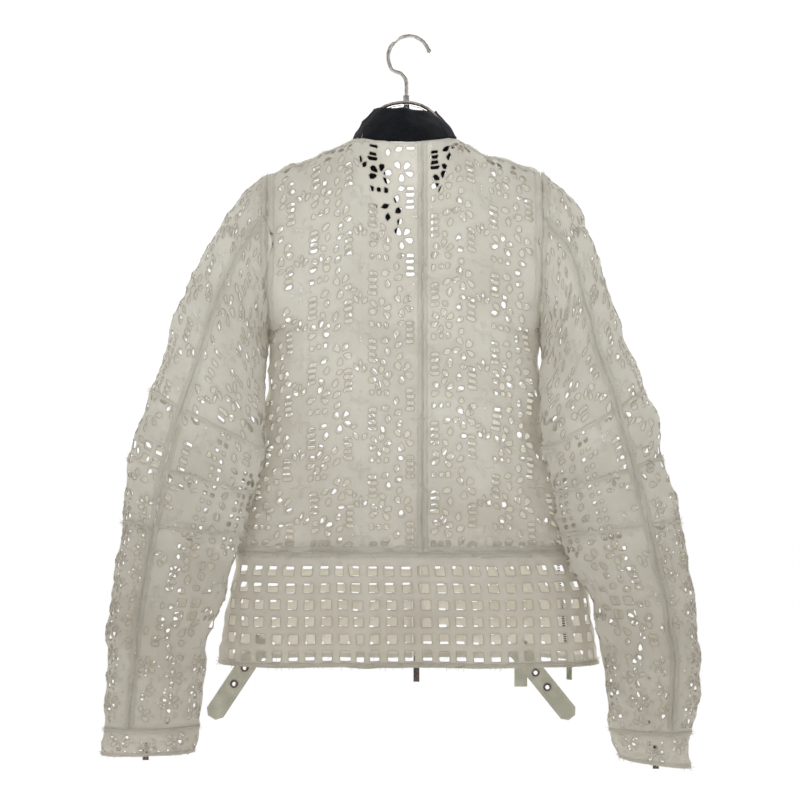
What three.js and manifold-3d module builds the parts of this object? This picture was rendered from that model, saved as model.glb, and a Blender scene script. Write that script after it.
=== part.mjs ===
// Lace jacket hanging on a wire hanger, seen from its back.
// Millimetres. +Z up, -Y is the jacket's back, +Y its front, +X the picture's right.
// The origin is the inside of the top of the hanger hook, where a rail would carry it.
import * as THREE from 'three';
import { mergeVertices } from 'three/addons/utils/BufferGeometryUtils.js';
import Module from 'manifold-3d';

// Driving dimensions
const CLOTH = 1.5;              // thickness of the lace cloth
const KNIT = 2.6;               // thickness of the collar
const SEAM = 0.3;               // gap between neighbouring pieces
const WIRE = 4.8;               // diameter of the hanger wire
const HOOK_RADIUS = 24;         // to the middle of the hook's wire
const CENTRE_X = -5;            // middle of the garment
const BACK_SEAM_X = 15;         // centre-back seam
const ZIP_X = 9;                // centre-front zip
const HEM_SEAM_Z = -588;        // seam between body and hem band
const HEM_Z = -719;             // lower edge of the hem band
const BACK_DEPTH = 48;          // how far the back stands from the side seams
const FRONT_DEPTH = 56;
const SIDE_ROUNDING = 92;       // width over which the body turns round to its side seam
const SHOULDER_ROUNDING = 62;   // height over which it turns over the shoulder
const NECK_HALF_WIDTH = 62;
const NECK_POINT_Z = -116;
const BACK_NECK_Z = -125;
const FRONT_NECK_Z = -236;
const ARMHOLE_DEPTH = 45;
const ARMHOLE_TOP_Z = -156;
const UNDERARM_Z = -336;
const ARMHOLE_X = { left: -160, right: 149 };
const ZIP_HALF_WIDTH = 5;       // from the zip's middle to the front panels' edges
const NECK_GAP_HALF_WIDTH = 24; // the zip is open there, and the fronts stand apart
const ZIP_OPEN_TO_Z = -345;
const STRAP_WIDTH = 22;
const STRAP_THICKNESS = 2.4;

// Colours
const IVORY = 0xd3cfc0;
const NAVY = 0x16191f;
const STEEL = 0x9c9690;
const BRONZE = 0x5e5350;
const OLIVE = 0x8a8a72;
const LEATHER = 0xc4c1b2;

const cloth = () => new THREE.MeshStandardMaterial({ color: IVORY, roughness: 0.9, side: THREE.DoubleSide });
const knit = () => new THREE.MeshStandardMaterial({ color: NAVY, roughness: 0.95 });
const steel = () => new THREE.MeshStandardMaterial({ color: STEEL, roughness: 0.25, metalness: 1 });
const metal = (color) => new THREE.MeshStandardMaterial({ color, roughness: 0.4, metalness: 1 });
const leather = () => new THREE.MeshStandardMaterial({ color: LEATHER, roughness: 0.6 });

const group = new THREE.Group();
const add = (name, geometry, material) => {
  const mesh = new THREE.Mesh(geometry, material);
  mesh.name = name;
  group.add(mesh);
  return mesh;
};
const vec = (x, y, z) => new THREE.Vector3(x, y, z);
const { lerp, clamp } = THREE.MathUtils;

// Reads a table of [key, value] rows at a key between them
function at(table, key) {
  const down = table[0][0] > table[1][0];
  let i = 0;
  while (i < table.length - 2 && (down ? key < table[i + 1][0] : key > table[i + 1][0])) i++;
  const [a, b] = [table[i], table[i + 1]];
  return lerp(a[1], b[1], clamp((key - a[0]) / (b[0] - a[0]), 0, 1));
}
// A quarter of a round: 0 at the edge, 1 from the rounding's full width on
const round = (share) => Math.sqrt(1 - (1 - clamp(share, 0, 1)) ** 2);

function volumeOf(positions, triangles) {
  let volume = 0;
  const [a, b, c] = [vec(), vec(), vec()];
  for (let i = 0; i < triangles.length; i += 3) {
    a.fromArray(positions, triangles[i] * 3);
    b.fromArray(positions, triangles[i + 1] * 3);
    c.fromArray(positions, triangles[i + 2] * 3);
    volume += a.dot(b.cross(c)) / 6;
  }
  return volume;
}
function solid(points, triangles) {
  const positions = points.flatMap((p) => [p.x, p.y, p.z]);
  if (volumeOf(positions, triangles) < 0) triangles.reverse();
  const geometry = new THREE.BufferGeometry();
  geometry.setAttribute('position', new THREE.Float32BufferAttribute(positions, 3));
  geometry.setIndex(triangles);
  geometry.computeVertexNormals();
  return geometry;
}

// A wall of cloth: place(u, v) gives its outer face, and inside is +1 or -1, the side on which
// its thickness lies. A cell for which hole(i, j) is true is cut through. rims lists [v, axis]: at
// that v the rim is square to that axis, so that it meets its neighbour evenly.
function wall({ place, us, vs, inside, thickness = CLOTH, rims = [], hole = () => false }) {
  const step = 1e-5;
  const [u0, u1, v0, v1] = [us[0], us[us.length - 1], vs[0], vs[vs.length - 1]];
  const normal = (u, v) => {
    const du = place(Math.min(u + step, u1), v).sub(place(Math.max(u - step, u0), v));
    const dv = place(u, Math.min(v + step, v1)).sub(place(u, Math.max(v - step, v0)));
    const n = du.cross(dv);
    for (const [rim, axis] of rims) if (rim === v) n[axis] = 0;
    return n.normalize();
  };
  const points = [];
  const index = new Map();
  const point = (i, j, layer) => {
    const key = `${i},${j},${layer}`;
    if (!index.has(key)) {
      index.set(key, points.length);
      const p = place(us[i], vs[j]);
      points.push(layer ? p.addScaledVector(normal(us[i], vs[j]), inside * thickness) : p);
    }
    return index.get(key);
  };
  const solidCell = (i, j) => i >= 0 && j >= 0 && i < us.length - 1 && j < vs.length - 1 && !hole(i, j);
  const triangles = [];
  const quad = (a, b, c, d) => triangles.push(a, b, c, a, c, d);
  for (let i = 0; i < us.length - 1; i++) {
    for (let j = 0; j < vs.length - 1; j++) {
      if (!solidCell(i, j)) continue;
      const ring = [[i, j], [i + 1, j], [i + 1, j + 1], [i, j + 1]];
      const [outer, inner] = [0, 1].map((layer) => ring.map(([k, l]) => point(k, l, layer)));
      quad(...outer);
      quad(inner[3], inner[2], inner[1], inner[0]);
      [[0, -1], [1, 0], [0, 1], [-1, 0]].forEach(([di, dj], side) => {
        if (solidCell(i + di, j + dj)) return;
        const next = (side + 1) % 4;
        quad(outer[side], inner[side], inner[next], outer[next]);
      });
    }
  }
  return solid(points, triangles);
}

// Grid lines from one end to the other, with a pair of lines for each hole
function lines(from, to, holes, longest) {
  const marks = [from, ...holes.flat(), to];
  const out = [from];
  for (let k = 1; k < marks.length; k++) {
    const parts = Math.max(1, Math.ceil((marks[k] - marks[k - 1]) / longest));
    for (let n = 1; n <= parts; n++) out.push(lerp(marks[k - 1], marks[k], n / parts));
  }
  return out;
}
const inHole = (value, holes) => holes.some(([a, b]) => value > a && value < b);
function lattice({ place, u, v, inside, rims, thickness, last = [] }) {
  const us = lines(...u);
  const vs = [...lines(...v), ...last];
  const middle = (list, i) => (list[i] + list[i + 1]) / 2;
  const hole = (i, j) => {
    const [mu, mv] = [middle(us, i), middle(vs, j)];
    return inHole(mu, u[2]) && inHole(mv, v[2]);
  };
  return wall({ place, us, vs, inside, rims, thickness, hole });
}
// Pairs of hole edges along a stretch: count holes of one size, one pitch apart
const holeRow = (first, pitch, size, count) =>
  Array.from({ length: count }, (_, k) => [first + k * pitch - size / 2, first + k * pitch + size / 2]);

// Body: x of the side edge at each height, from the hem up
const SIDE_X = {
  left: [[HEM_Z, -216], [-646, -210], [HEM_SEAM_Z, -200], [-537, -186], [-474, -173], [-422, -166],
    [-373, -160], [UNDERARM_Z, ARMHOLE_X.left], [ARMHOLE_TOP_Z, ARMHOLE_X.left - 1]],
  right: [[HEM_Z, 219], [-646, 209], [HEM_SEAM_Z, 189], [-537, 172], [-474, 161], [-422, 155],
    [-373, 149.5], [UNDERARM_Z, ARMHOLE_X.right], [ARMHOLE_TOP_Z, ARMHOLE_X.right + 1]],
};
// Main folds of the body: x at the top, x at the bottom, top and bottom heights, width, and how far
// it stands out (back) or sinks in
const FOLDS = [
  { top: -62, bottom: -50, from: -470, to: HEM_Z, width: 16, out: 7 },
  { top: -96, bottom: -84, from: -500, to: -610, width: 22, out: -6 },
  { top: 70, bottom: 92, from: -330, to: HEM_Z, width: 34, out: 4 },
  { top: 128, bottom: 150, from: -450, to: HEM_Z, width: 24, out: -4 },
  { top: -132, bottom: -150, from: -430, to: HEM_Z, width: 26, out: 4 },
];
function foldAt(x, z) {
  let out = 0;
  for (const f of FOLDS) {
    const down = clamp((z - f.from) / (f.to - f.from), 0, 1);
    const middle = lerp(f.top, f.bottom, down);
    const fade = Math.min(1, down * 4);
    out += f.out * fade * Math.exp(-(((x - middle) / f.width) ** 2));
  }
  return out;
}
// The shoulder falls faster beside the neck than out towards the arm
const NECK_SLOPE = 0.51;
const SHOULDER_BEND = 100;
const SHOULDER_SLOPE = 0.37;
const shoulderZ = (x) => {
  const away = Math.abs(x - CENTRE_X);
  const beside = Math.min(away, SHOULDER_BEND) - NECK_HALF_WIDTH;
  return NECK_POINT_Z - beside * NECK_SLOPE - Math.max(0, away - SHOULDER_BEND) * SHOULDER_SLOPE;
};
function sideDepth(z) {
  if (z <= UNDERARM_Z || z >= ARMHOLE_TOP_Z) return 0;
  const half = (ARMHOLE_TOP_Z - UNDERARM_Z) / 2;
  return ARMHOLE_DEPTH * Math.sqrt(Math.max(0, 1 - ((z - UNDERARM_Z - half) / half) ** 2));
}
// The body's outer face over a point (x, z) of the view, on its back (-1) or front (+1)
function bodyPoint(x, z, face) {
  const side = x < CENTRE_X ? 'left' : 'right';
  const inward = Math.abs(x - at(SIDE_X[side], z));
  const full = (face < 0 ? BACK_DEPTH : FRONT_DEPTH) + foldAt(face < 0 ? x : -x, z);
  const over = round((shoulderZ(x) - z) / SHOULDER_ROUNDING);
  const depth = lerp(sideDepth(z), full * over, round(inward / SIDE_ROUNDING));
  return vec(x, face * (depth + SEAM / 2), z);
}

// Neckline height at x, from the neck point (share 1) to the middle (share 0)
function neckZ(x, face) {
  const share = clamp(Math.abs(x - CENTRE_X) / NECK_HALF_WIDTH, 0, 1);
  if (face < 0) return lerp(BACK_NECK_Z, NECK_POINT_Z, share ** 2);
  return lerp(FRONT_NECK_Z, NECK_POINT_Z, share ** 1.35);
}
// The upper edge of a body panel: along the shoulder, then along the neckline
const topZ = (x, face) => (Math.abs(x - CENTRE_X) > NECK_HALF_WIDTH ? shoulderZ(x) : neckZ(x, face));

// A body panel over (u, v): u runs from the side to the middle, v from the hem seam to the top
const frontGap = (z) => lerp(ZIP_HALF_WIDTH, NECK_GAP_HALF_WIDTH,
  clamp((z - ZIP_OPEN_TO_Z) / (FRONT_NECK_Z - ZIP_OPEN_TO_Z), 0, 1));
function panel(side, face) {
  const sign = side === 'left' ? -1 : 1;
  const edge = (z) => (face < 0 ? BACK_SEAM_X + sign * SEAM / 2 : ZIP_X + sign * frontGap(z));
  return (u, v) => {
    const bottom = HEM_SEAM_Z + SEAM / 2;
    const tip = at(SIDE_X[side], ARMHOLE_TOP_Z);
    const xTop = lerp(tip, edge(-200), u);
    const z = lerp(bottom, topZ(xTop, face) - (u === 0 ? 1 : 0), v);
    const x = lerp(at(SIDE_X[side], z), edge(z), u);
    const top = topZ(x, face);
    return bodyPoint(x, Math.min(z, top), face);
  };
}
// Lines across a panel lie closer together where it turns round to its side
const PANEL_U = [0, 0.03, 0.11, 0.24, 0.31, 0.5, 0.57, 0.67, 0.76, 0.83, 0.92, 0.96, 1];
const PANEL_V = [0, 0.06, 0.1, 0.25, 0.29, 0.44, 0.48, 0.63, 0.67, 0.78, 0.87, 0.94, 0.98, 1];
const PANEL_HOLES_U = [3, 5, 8];
const PANEL_HOLES_V = [1, 3, 5, 7];
for (const [face, name] of [[-1, 'back'], [1, 'front']]) {
  for (const side of ['left', 'right']) {
    const sign = side === 'left' ? 1 : -1;
    const hole = (i, j) => PANEL_HOLES_U.includes(i) && PANEL_HOLES_V.includes(j);
    add(`${name}_${side}`, wall({
      place: panel(side, face), us: PANEL_U, vs: PANEL_V, inside: face * sign, rims: [[0, 'z']], hole,
    }), cloth());
  }
}

// Hem band: squares cut in rows, with plain bars between them
const SQUARE = 12.6;
const SQUARE_PITCH = 19.4;
const SQUARE_ROWS = 6;
function bandPlace(from, to, face) {
  return (s, z) => {
    const [left, right] = [at(SIDE_X.left, z), at(SIDE_X.right, z)];
    const x = lerp(from ?? left, to ?? right, s);
    return bodyPoint(x, z, face);
  };
}
function band(name, face, from, to, columns) {
  const left = from ?? at(SIDE_X.left, -650);
  const right = to ?? at(SIDE_X.right, -650);
  const width = right - left;
  const size = SQUARE / width;
  const across = holeRow(0.5 - ((columns - 1) / 2) * (SQUARE_PITCH / width), SQUARE_PITCH / width, size, columns);
  const down = holeRow(HEM_Z + 13, SQUARE_PITCH, SQUARE, SQUARE_ROWS);
  add(name, lattice({
    place: bandPlace(from, to, face),
    u: [0, 1, across, 0.08],
    v: [HEM_Z, HEM_SEAM_Z - SEAM / 2, down, 30],
    inside: face,
    rims: [[HEM_Z, 'z'], [HEM_SEAM_Z - SEAM / 2, 'z']],
  }), cloth());
}
band('band_back', -1, null, null, 20);
band('band_front_left', 1, null, ZIP_X - ZIP_HALF_WIDTH, 9);
band('band_front_right', 1, ZIP_X + ZIP_HALF_WIDTH, null, 9);

// Sleeves: the outer and inner edge of each ring as the view shows them, the middle's depth and the
// ring's half depth
const ring = (outerX, outerZ, innerX, innerZ, middleY, halfDepth) =>
  ({ outerX, outerZ, innerX, innerZ, middleY, halfDepth });
const SLEEVE_RINGS = {
  left: [
    ring(-162.4, -156, -161.4, -336, 0, 45), ring(-187, -174, -163, -352, -3, 45),
    ring(-208, -200, -163, -372, -10, 45), ring(-230, -244, -163, -398, -20, 43),
    ring(-247, -280, -162, -422, -29, 42), ring(-266, -330, -161, -446, -35, 41),
    ring(-285, -382, -163, -475, -38, 40), ring(-304, -434, -169, -506, -38, 40),
    ring(-317, -485, -177, -537, -38, 39), ring(-324, -537, -189, -568, -38, 37),
    ring(-330, -589, -201, -603, -38, 35), ring(-337, -641, -215, -646, -38, 33),
    ring(-342, -692, -227, -692, -38, 31), ring(-344, -744, -234, -744, -38, 28),
    ring(-345, -786, -239, -783, -38, 26),
  ],
  right: [
    ring(151.4, -156, 150.4, -336, 0, 45), ring(175, -175, 152, -352, -3, 45),
    ring(196, -200, 152, -372, -10, 45), ring(212, -244, 151, -398, -20, 43),
    ring(224, -280, 150, -422, -29, 42), ring(240, -330, 150, -446, -35, 41),
    ring(260, -382, 152, -475, -38, 40), ring(276, -434, 157, -508, -38, 40),
    ring(290, -485, 162, -537, -38, 39), ring(304, -537, 171, -568, -38, 37),
    ring(314, -589, 185, -603, -38, 35), ring(323, -641, 207, -646, -38, 33),
    ring(329, -692, 217, -692, -38, 31), ring(327, -744, 224, -744, -38, 28),
    ring(323, -790, 229, -787, -38, 26),
  ],
};
const CUFF_RINGS = {
  left: [ring(-345, -786.3, -239, -783.3, -38, 26), ring(-348, -818, -243, -815, -38, 25)],
  right: [ring(323, -790.3, 229, -787.3, -38, 26), ring(321, -833, 234, -822, -38, 25)],
};
// Cross creases of the sleeves: ring number at the outer edge, its slant, width in rings and depth
const CREASES = [
  { ring: 4.6, slant: 0.8, width: 0.35, depth: 3 },
  { ring: 6.7, slant: 0.5, width: 0.3, depth: 4 },
  { ring: 8.3, slant: 0.4, width: 0.3, depth: 4.5 },
  { ring: 9.6, slant: 0.3, width: 0.3, depth: 3.5 },
];
// angle 0 is the outer edge, half a turn the inner edge, and a quarter the side towards -Y
function ringPoint(rings, angle, t) {
  const i = Math.min(Math.floor(t), rings.length - 2);
  const mix = (key) => lerp(rings[i][key], rings[i + 1][key], t - i);
  let depth = mix('halfDepth');
  for (const c of rings.length > 2 ? CREASES : []) {
    const off = t - c.ring - c.slant * (1 - Math.cos(angle)) / 2;
    depth -= c.depth * Math.exp(-((off / c.width) ** 2));
  }
  const half = (1 + Math.cos(angle)) / 2;
  return vec(
    lerp(mix('innerX'), mix('outerX'), half),
    mix('middleY') - depth * Math.sin(angle),
    lerp(mix('innerZ'), mix('outerZ'), half),
  );
}
const BACK_SLEEVE_SEAM = THREE.MathUtils.degToRad(66);
const FRONT_SLEEVE_SEAM = THREE.MathUtils.degToRad(-120);
const SLEEVE_SEAM_GAP = THREE.MathUtils.degToRad(0.35);
const SLEEVE_HOLE_U = [[0.46, 0.505], [0.66, 0.705], [0.86, 0.905]];
const SLEEVE_HOLES_T = [[3, 3.28], [5, 5.24], [8, 8.24], [12, 12.24]];
for (const side of ['left', 'right']) {
  const rings = SLEEVE_RINGS[side];
  const last = rings.length - 1;
  const sign = side === 'left' ? 1 : -1;
  const piece = (name, from, to) => {
    const place = (u, t) => ringPoint(rings, lerp(from, to, u), t);
    const across = name === 'top' ? SLEEVE_HOLE_U : [];
    add(`sleeve_${side}_${name}`, lattice({
      place, u: [0, 1, across, 0.14], v: [0, last, SLEEVE_HOLES_T, 1], inside: sign, rims: [[0, 'x'], [last, 'z']],
    }), cloth());
  };
  piece('top', FRONT_SLEEVE_SEAM + SLEEVE_SEAM_GAP, BACK_SLEEVE_SEAM - SLEEVE_SEAM_GAP);
  piece('under', BACK_SLEEVE_SEAM + SLEEVE_SEAM_GAP, FRONT_SLEEVE_SEAM + 2 * Math.PI - SLEEVE_SEAM_GAP);
  // The cuff band is one tube, with an opening no wider than a seam at the zip on its far side
  const cuffEdge = -Math.PI / 2;
  const cuffPlace = (u, t) => {
    const angle = lerp(cuffEdge + SLEEVE_SEAM_GAP, cuffEdge + 2 * Math.PI - SLEEVE_SEAM_GAP, u);
    return ringPoint(CUFF_RINGS[side], angle, t);
  };
  add(`cuff_${side}`, lattice({
    place: cuffPlace, u: [0, 1, [], 0.05], v: [0, 1, [], 1], inside: sign, rims: [[0, 'z'], [1, 'z']],
  }), cloth());
}

// Collar: a knitted band that stands up from the neckline. way runs from -1 at the left front end
// over 0 at centre back to +1 at the right front end. Each row gives the upper edge: way, how far it
// lies in towards the middle, then forward and up in millimetres.
const COLLAR_RISE = [
  { way: 0, inward: 0.4, forward: 8, up: 40.5 },
  { way: 0.3, inward: 0.4, forward: 6, up: 35.5 },
  { way: 0.5, inward: 0.39, forward: 2, up: 31.5 },
  { way: 0.7, inward: 0.4, forward: -7, up: 29 },
  { way: 1, inward: 0.3, forward: -20, up: 28 },
];
const rise = (way, key) => at(COLLAR_RISE.map((row) => [row.way, row[key]]), way);
function collarPoint(way, up) {
  const sign = way < 0 ? -1 : 1;
  const share = Math.abs(way);
  const face = share < 0.5 ? -1 : 1;
  const end = face < 0 ? CENTRE_X : ZIP_X + sign * NECK_GAP_HALF_WIDTH;
  const neck = CENTRE_X + sign * NECK_HALF_WIDTH;
  const turn = Math.sin(Math.PI * share);
  const x = lerp(end, neck, turn);
  const seam = bodyPoint(x, neckZ(x, face), face);
  seam.x -= sign * 1.4 * turn;
  seam.z += (face < 0 ? 2 : 7) * SEAM;
  const bulge = Math.sin(Math.PI * up) * 2.5;
  const [fromMiddle, out] = [seam.x - CENTRE_X, face < 0 ? -1 : 1];
  return vec(
    seam.x - fromMiddle * rise(share, 'inward') * up + sign * bulge * turn,
    seam.y + rise(share, 'forward') * up + out * bulge * (1 - turn),
    seam.z + rise(share, 'up') * up,
  );
}
add('collar', lattice({
  place: collarPoint, u: [-1, 1, [], 0.05], v: [0, 1, [], 0.34], inside: -1, thickness: KNIT,
}), knit());

// Centre-front zip: two tapes, closed below and standing apart above
const TAPE_WIDTH = ZIP_HALF_WIDTH - SEAM * 2;
for (const [side, sign] of [['left', -1], ['right', 1]]) {
  const seam = HEM_SEAM_Z + SEAM / 2;
  const top = topZ(ZIP_X + sign * NECK_GAP_HALF_WIDTH, 1) - 1;
  // v runs from -1 at the hem over 0 at the hem seam, and from there as on the panel beside it
  const tapePlace = (u, v) => {
    const z = v < 0 ? lerp(seam, HEM_Z + 2, -v) : lerp(seam, top, v);
    const edge = ZIP_X + sign * (frontGap(z) - SEAM);
    return bodyPoint(edge - sign * TAPE_WIDTH * u, z, 1);
  };
  add(`zip_tape_${side}`, wall({
    place: tapePlace, us: [0, 1], vs: [-1, -0.5, ...PANEL_V], inside: -sign,
  }), cloth());
}

// Hanger: hook and shank of one wire, and a loop of wire for each shoulder
function wire(points, steps, sides = 8) {
  const section = new THREE.Shape();
  section.absarc(0, 0, WIRE / 2, 0, 2 * Math.PI);
  return new THREE.ExtrudeGeometry(section, {
    steps, curveSegments: sides / 2, bevelEnabled: false, extrudePath: new THREE.CatmullRomCurve3(points),
  });
}
const HOOK_MIDDLE_Z = WIRE / 2 - HOOK_RADIUS;
const SHANK_X = -3;
const SHANK_FOOT_Z = -66;
const hookPath = [];
for (let degrees = 17; degrees <= 222; degrees += 20.5) {
  const a = THREE.MathUtils.degToRad(degrees);
  hookPath.push(vec(HOOK_RADIUS * Math.cos(a), 0, HOOK_MIDDLE_Z + HOOK_RADIUS * Math.sin(a)));
}
hookPath.push(vec(-8.5, 0, -41), vec(SHANK_X - 0.6, 0, -48), vec(SHANK_X, 0, -56), vec(SHANK_X, 0, SHANK_FOOT_Z));
add('hanger_hook', wire(hookPath, 32), steel());
// A cross bar sits between the two wires and carries the shank, with a boss above and a nut below
const ARM_PEAK_Z = -75;
const ARM_HALF_SPACING = 7.5;
const turned = (radius, height, sides) =>
  new THREE.CylinderGeometry(radius, radius, height, sides).rotateX(Math.PI / 2);
const BAR_HEIGHT = 4;
const BOSS_HEIGHT = SHANK_FOOT_Z - ARM_PEAK_Z - BAR_HEIGHT / 2 - 2 * SEAM;
add('hanger_boss', turned(4.4, BOSS_HEIGHT, 16), steel())
  .position.set(SHANK_X, 0, SHANK_FOOT_Z - SEAM - BOSS_HEIGHT / 2);
add('hanger_bar', new THREE.BoxGeometry(11, 2 * (ARM_HALF_SPACING - WIRE / 2 - SEAM), BAR_HEIGHT), steel())
  .position.set(SHANK_X, 0, ARM_PEAK_Z);
add('hanger_nut', turned(4, 4.6, 6), steel())
  .position.set(SHANK_X, 0, ARM_PEAK_Z - BAR_HEIGHT / 2 - SEAM - 2.3);
// Height of an arm's wire at a distance from the middle: an arch in the neck, down inside the
// collar, then under the shoulder's cloth
const ARM_BELOW_SHOULDER = 8.6;
const ARM_REACH = 150;
const ARCH_HALF_WIDTH = 30;
const ARM_IN_COLLAR = [
  [ARCH_HALF_WIDTH, ARM_PEAK_Z - 9],
  [43, ARM_PEAK_Z - 28],
  [53, ARM_PEAK_Z - 45],
  [NECK_HALF_WIDTH, NECK_POINT_Z - ARM_BELOW_SHOULDER - 3],
];
function armZ(away) {
  if (away < ARCH_HALF_WIDTH) return ARM_PEAK_Z - 9 * (away / ARCH_HALF_WIDTH) ** 2;
  if (away < NECK_HALF_WIDTH) return at(ARM_IN_COLLAR, away);
  return shoulderZ(CENTRE_X + away) - ARM_BELOW_SHOULDER;
}
for (const [side, sign] of [['left', -1], ['right', 1]]) {
  const path = [];
  const start = SHANK_X + sign * 0.4;
  const stops = [0, 15, 30, 43, 53, 64, 80, 100, 120, ARM_REACH - 12];
  const along = (away, y) => path.push(vec(start + sign * away, y, armZ(Math.abs(start + sign * away - CENTRE_X))));
  stops.forEach((away) => along(away, ARM_HALF_SPACING));
  for (let turn = 1; turn < 4; turn++) {
    const a = (turn / 4) * Math.PI;
    along(ARM_REACH - ARM_HALF_SPACING * (1 - Math.sin(a)), ARM_HALF_SPACING * Math.cos(a));
  }
  stops.reverse().forEach((away) => along(away, -ARM_HALF_SPACING));
  add(`hanger_arm_${side}`, wire(path, 44, 6), steel());
}

// Straps on the front band, hanging below the hem. foot is the middle of the sewn end, tip the middle
// of the free end, and lean how far the strap turns round with the body.
const EYELET_ALONG = [40, 62];  // from the foot
const EYELET_HOLE = 5;
const EYELET_TUBE = 6.2;
const EYELET_FLANGE = 9.6;
const EYELET_LIP = 0.8;
const EYELET_SEAT = 7;          // square opening in the strap
const STRAP_POINT = 7;          // the free end narrows over this much
const STRAPS = [
  { side: 'left', foot: [-170, -696], tip: [-230, -786], lean: 0.3 },
  { side: 'right', foot: [124, -706], tip: [192, -790], lean: 0 },
];
const eyeletProfile = () => {
  const [hole, tube, flange] = [EYELET_HOLE / 2, EYELET_TUBE / 2, EYELET_FLANGE / 2];
  const half = STRAP_THICKNESS / 2 + SEAM;
  return [[hole, -half - EYELET_LIP], [flange, -half - EYELET_LIP], [flange, -half], [tube, -half], [tube, half],
    [flange, half], [flange, half + EYELET_LIP], [hole, half + EYELET_LIP], [hole, -half - EYELET_LIP]]
    .map(([r, y]) => new THREE.Vector2(r, y));
};
const strapFace = {};
for (const { side, foot, tip, lean } of STRAPS) {
  const [start, end] = [foot, tip].map(([x, z]) => new THREE.Vector2(x, z));
  const length = start.distanceTo(end);
  const along = end.clone().sub(start).normalize();
  const towards = side === 'left' ? -1 : 1;
  const seatX = foot[0] - towards * STRAP_WIDTH / 2;
  // u across in millimetres from the middle, v along from the foot
  const over = (u, v) => {
    const taper = v > length - STRAP_POINT ? lerp(1, 0.45, (v - length + STRAP_POINT) / STRAP_POINT) : 1;
    return [start.x + along.x * v - along.y * u * taper, start.y + along.y * v + along.x * u * taper];
  };
  // The strap's back lies just clear of the band under its sewn end
  let backY = 0;
  for (let v = 0; v < 40; v += 4) {
    for (const u of [-1, -0.5, 0, 0.5, 1]) {
      const [x, z] = over(u * STRAP_WIDTH / 2, v);
      if (z > HEM_Z) backY = Math.max(backY, bodyPoint(x, z, 1).y + lean * Math.abs(x - seatX) + 2 * SEAM);
    }
  }
  strapFace[side] = backY + STRAP_THICKNESS;
  const place = (u, v) => {
    const [x, z] = over(u, v);
    return vec(x, strapFace[side] - lean * Math.abs(x - seatX), z);
  };
  const seats = EYELET_ALONG.map((v) => [v - EYELET_SEAT / 2, v + EYELET_SEAT / 2]);
  add(`strap_${side}`, lattice({
    place, u: [-STRAP_WIDTH / 2, STRAP_WIDTH / 2, [[-EYELET_SEAT / 2, EYELET_SEAT / 2]], 9],
    v: [0, length - STRAP_POINT, seats, 40], last: [length], inside: -1, thickness: STRAP_THICKNESS,
  }), leather());
  EYELET_ALONG.forEach((v, k) => {
    const eyelet = add(`eyelet_${side}_${k + 1}`, new THREE.LatheGeometry(eyeletProfile(), 10), metal(BRONZE));
    eyelet.position.copy(place(0, v)).add(vec(0, -STRAP_THICKNESS / 2, 0));
    eyelet.rotation.z = Math.atan(-lean * towards);
  });
}
// A short keeper tab lies on the right strap
const TAB = { x: 132, top: -700, length: 54, width: 15 };
const tabY = strapFace.right + SEAM;
add('strap_tab', lattice({
  place: (u, v) => vec(TAB.x + u, tabY + STRAP_THICKNESS, TAB.top + v),
  u: [-TAB.width / 2, TAB.width / 2, [], 16], v: [-TAB.length, 0, [], 27],
  inside: 1, thickness: STRAP_THICKNESS,
}), leather());

// Zip sliders and their pull tabs: a slider sits on the cloth at (x, z), and its tab hangs from a pin
const wasm = await Module();
wasm.setup();
function toManifold(geometry) {
  const bare = geometry.clone();
  bare.deleteAttribute('normal');
  bare.deleteAttribute('uv');
  const merged = mergeVertices(bare, 1e-4);
  return new wasm.Manifold(new wasm.Mesh({
    numProp: 3,
    vertProperties: Float32Array.from(merged.attributes.position.array),
    triVerts: Uint32Array.from(merged.index.array),
  }));
}
function fromManifold(body) {
  const { vertProperties, triVerts } = body.getMesh();
  const geometry = new THREE.BufferGeometry();
  geometry.setAttribute('position', new THREE.BufferAttribute(new Float32Array(vertProperties), 3));
  geometry.setIndex(new THREE.BufferAttribute(new Uint32Array(triVerts), 1));
  geometry.computeVertexNormals();
  return geometry;
}
const block = (w, d, h, x, y, z) => toManifold(new THREE.BoxGeometry(w, d, h).translate(x, y, z));
const rod = (radius, length, y, z) =>
  toManifold(new THREE.CylinderGeometry(radius, radius, length, 10).rotateZ(Math.PI / 2).translate(0, y, z));
const PIN_Y = 5;                // from the cloth's face to the pin
const PIN_RADIUS = 0.6;
const KNUCKLE_RADIUS = 1.7;
const KNUCKLE_WIDTH = 3;
const EAR = 1.1;
const PULL_LENGTH = 28;
const PULL_WIDTH = 7;
const PULL_THICKNESS = 1.3;
function slider() {
  const earX = KNUCKLE_WIDTH / 2 + SEAM + EAR / 2;
  return fromManifold(block(7, 2.4, 10, 0, 2 * SEAM + 1.2, 1)
    .add(block(EAR, 3.6, 3, earX, PIN_Y - 1, 0))
    .add(block(EAR, 3.6, 3, -earX, PIN_Y - 1, 0))
    .add(rod(PIN_RADIUS, 2 * earX, PIN_Y, 0)));
}
function pullTab() {
  return fromManifold(block(PULL_WIDTH, PULL_THICKNESS, PULL_LENGTH - 4, 0, PIN_Y, -PULL_LENGTH / 2 - 2)
    .add(block(KNUCKLE_WIDTH, PULL_THICKNESS, 5, 0, PIN_Y, -2.5))
    .add(rod(KNUCKLE_RADIUS, KNUCKLE_WIDTH, PIN_Y, 0))
    .subtract(rod(PIN_RADIUS + 0.35, KNUCKLE_WIDTH + 1, PIN_Y, 0)));
}
const cuffFace = (side, x) => {
  const [, low] = CUFF_RINGS[side];
  const share = (x - low.innerX) / (low.outerX - low.innerX);
  return low.middleY + low.halfDepth * Math.sin(Math.acos(2 * share - 1));
};
const bandFace = (x, z) => bodyPoint(x, z, 1).y;
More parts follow.
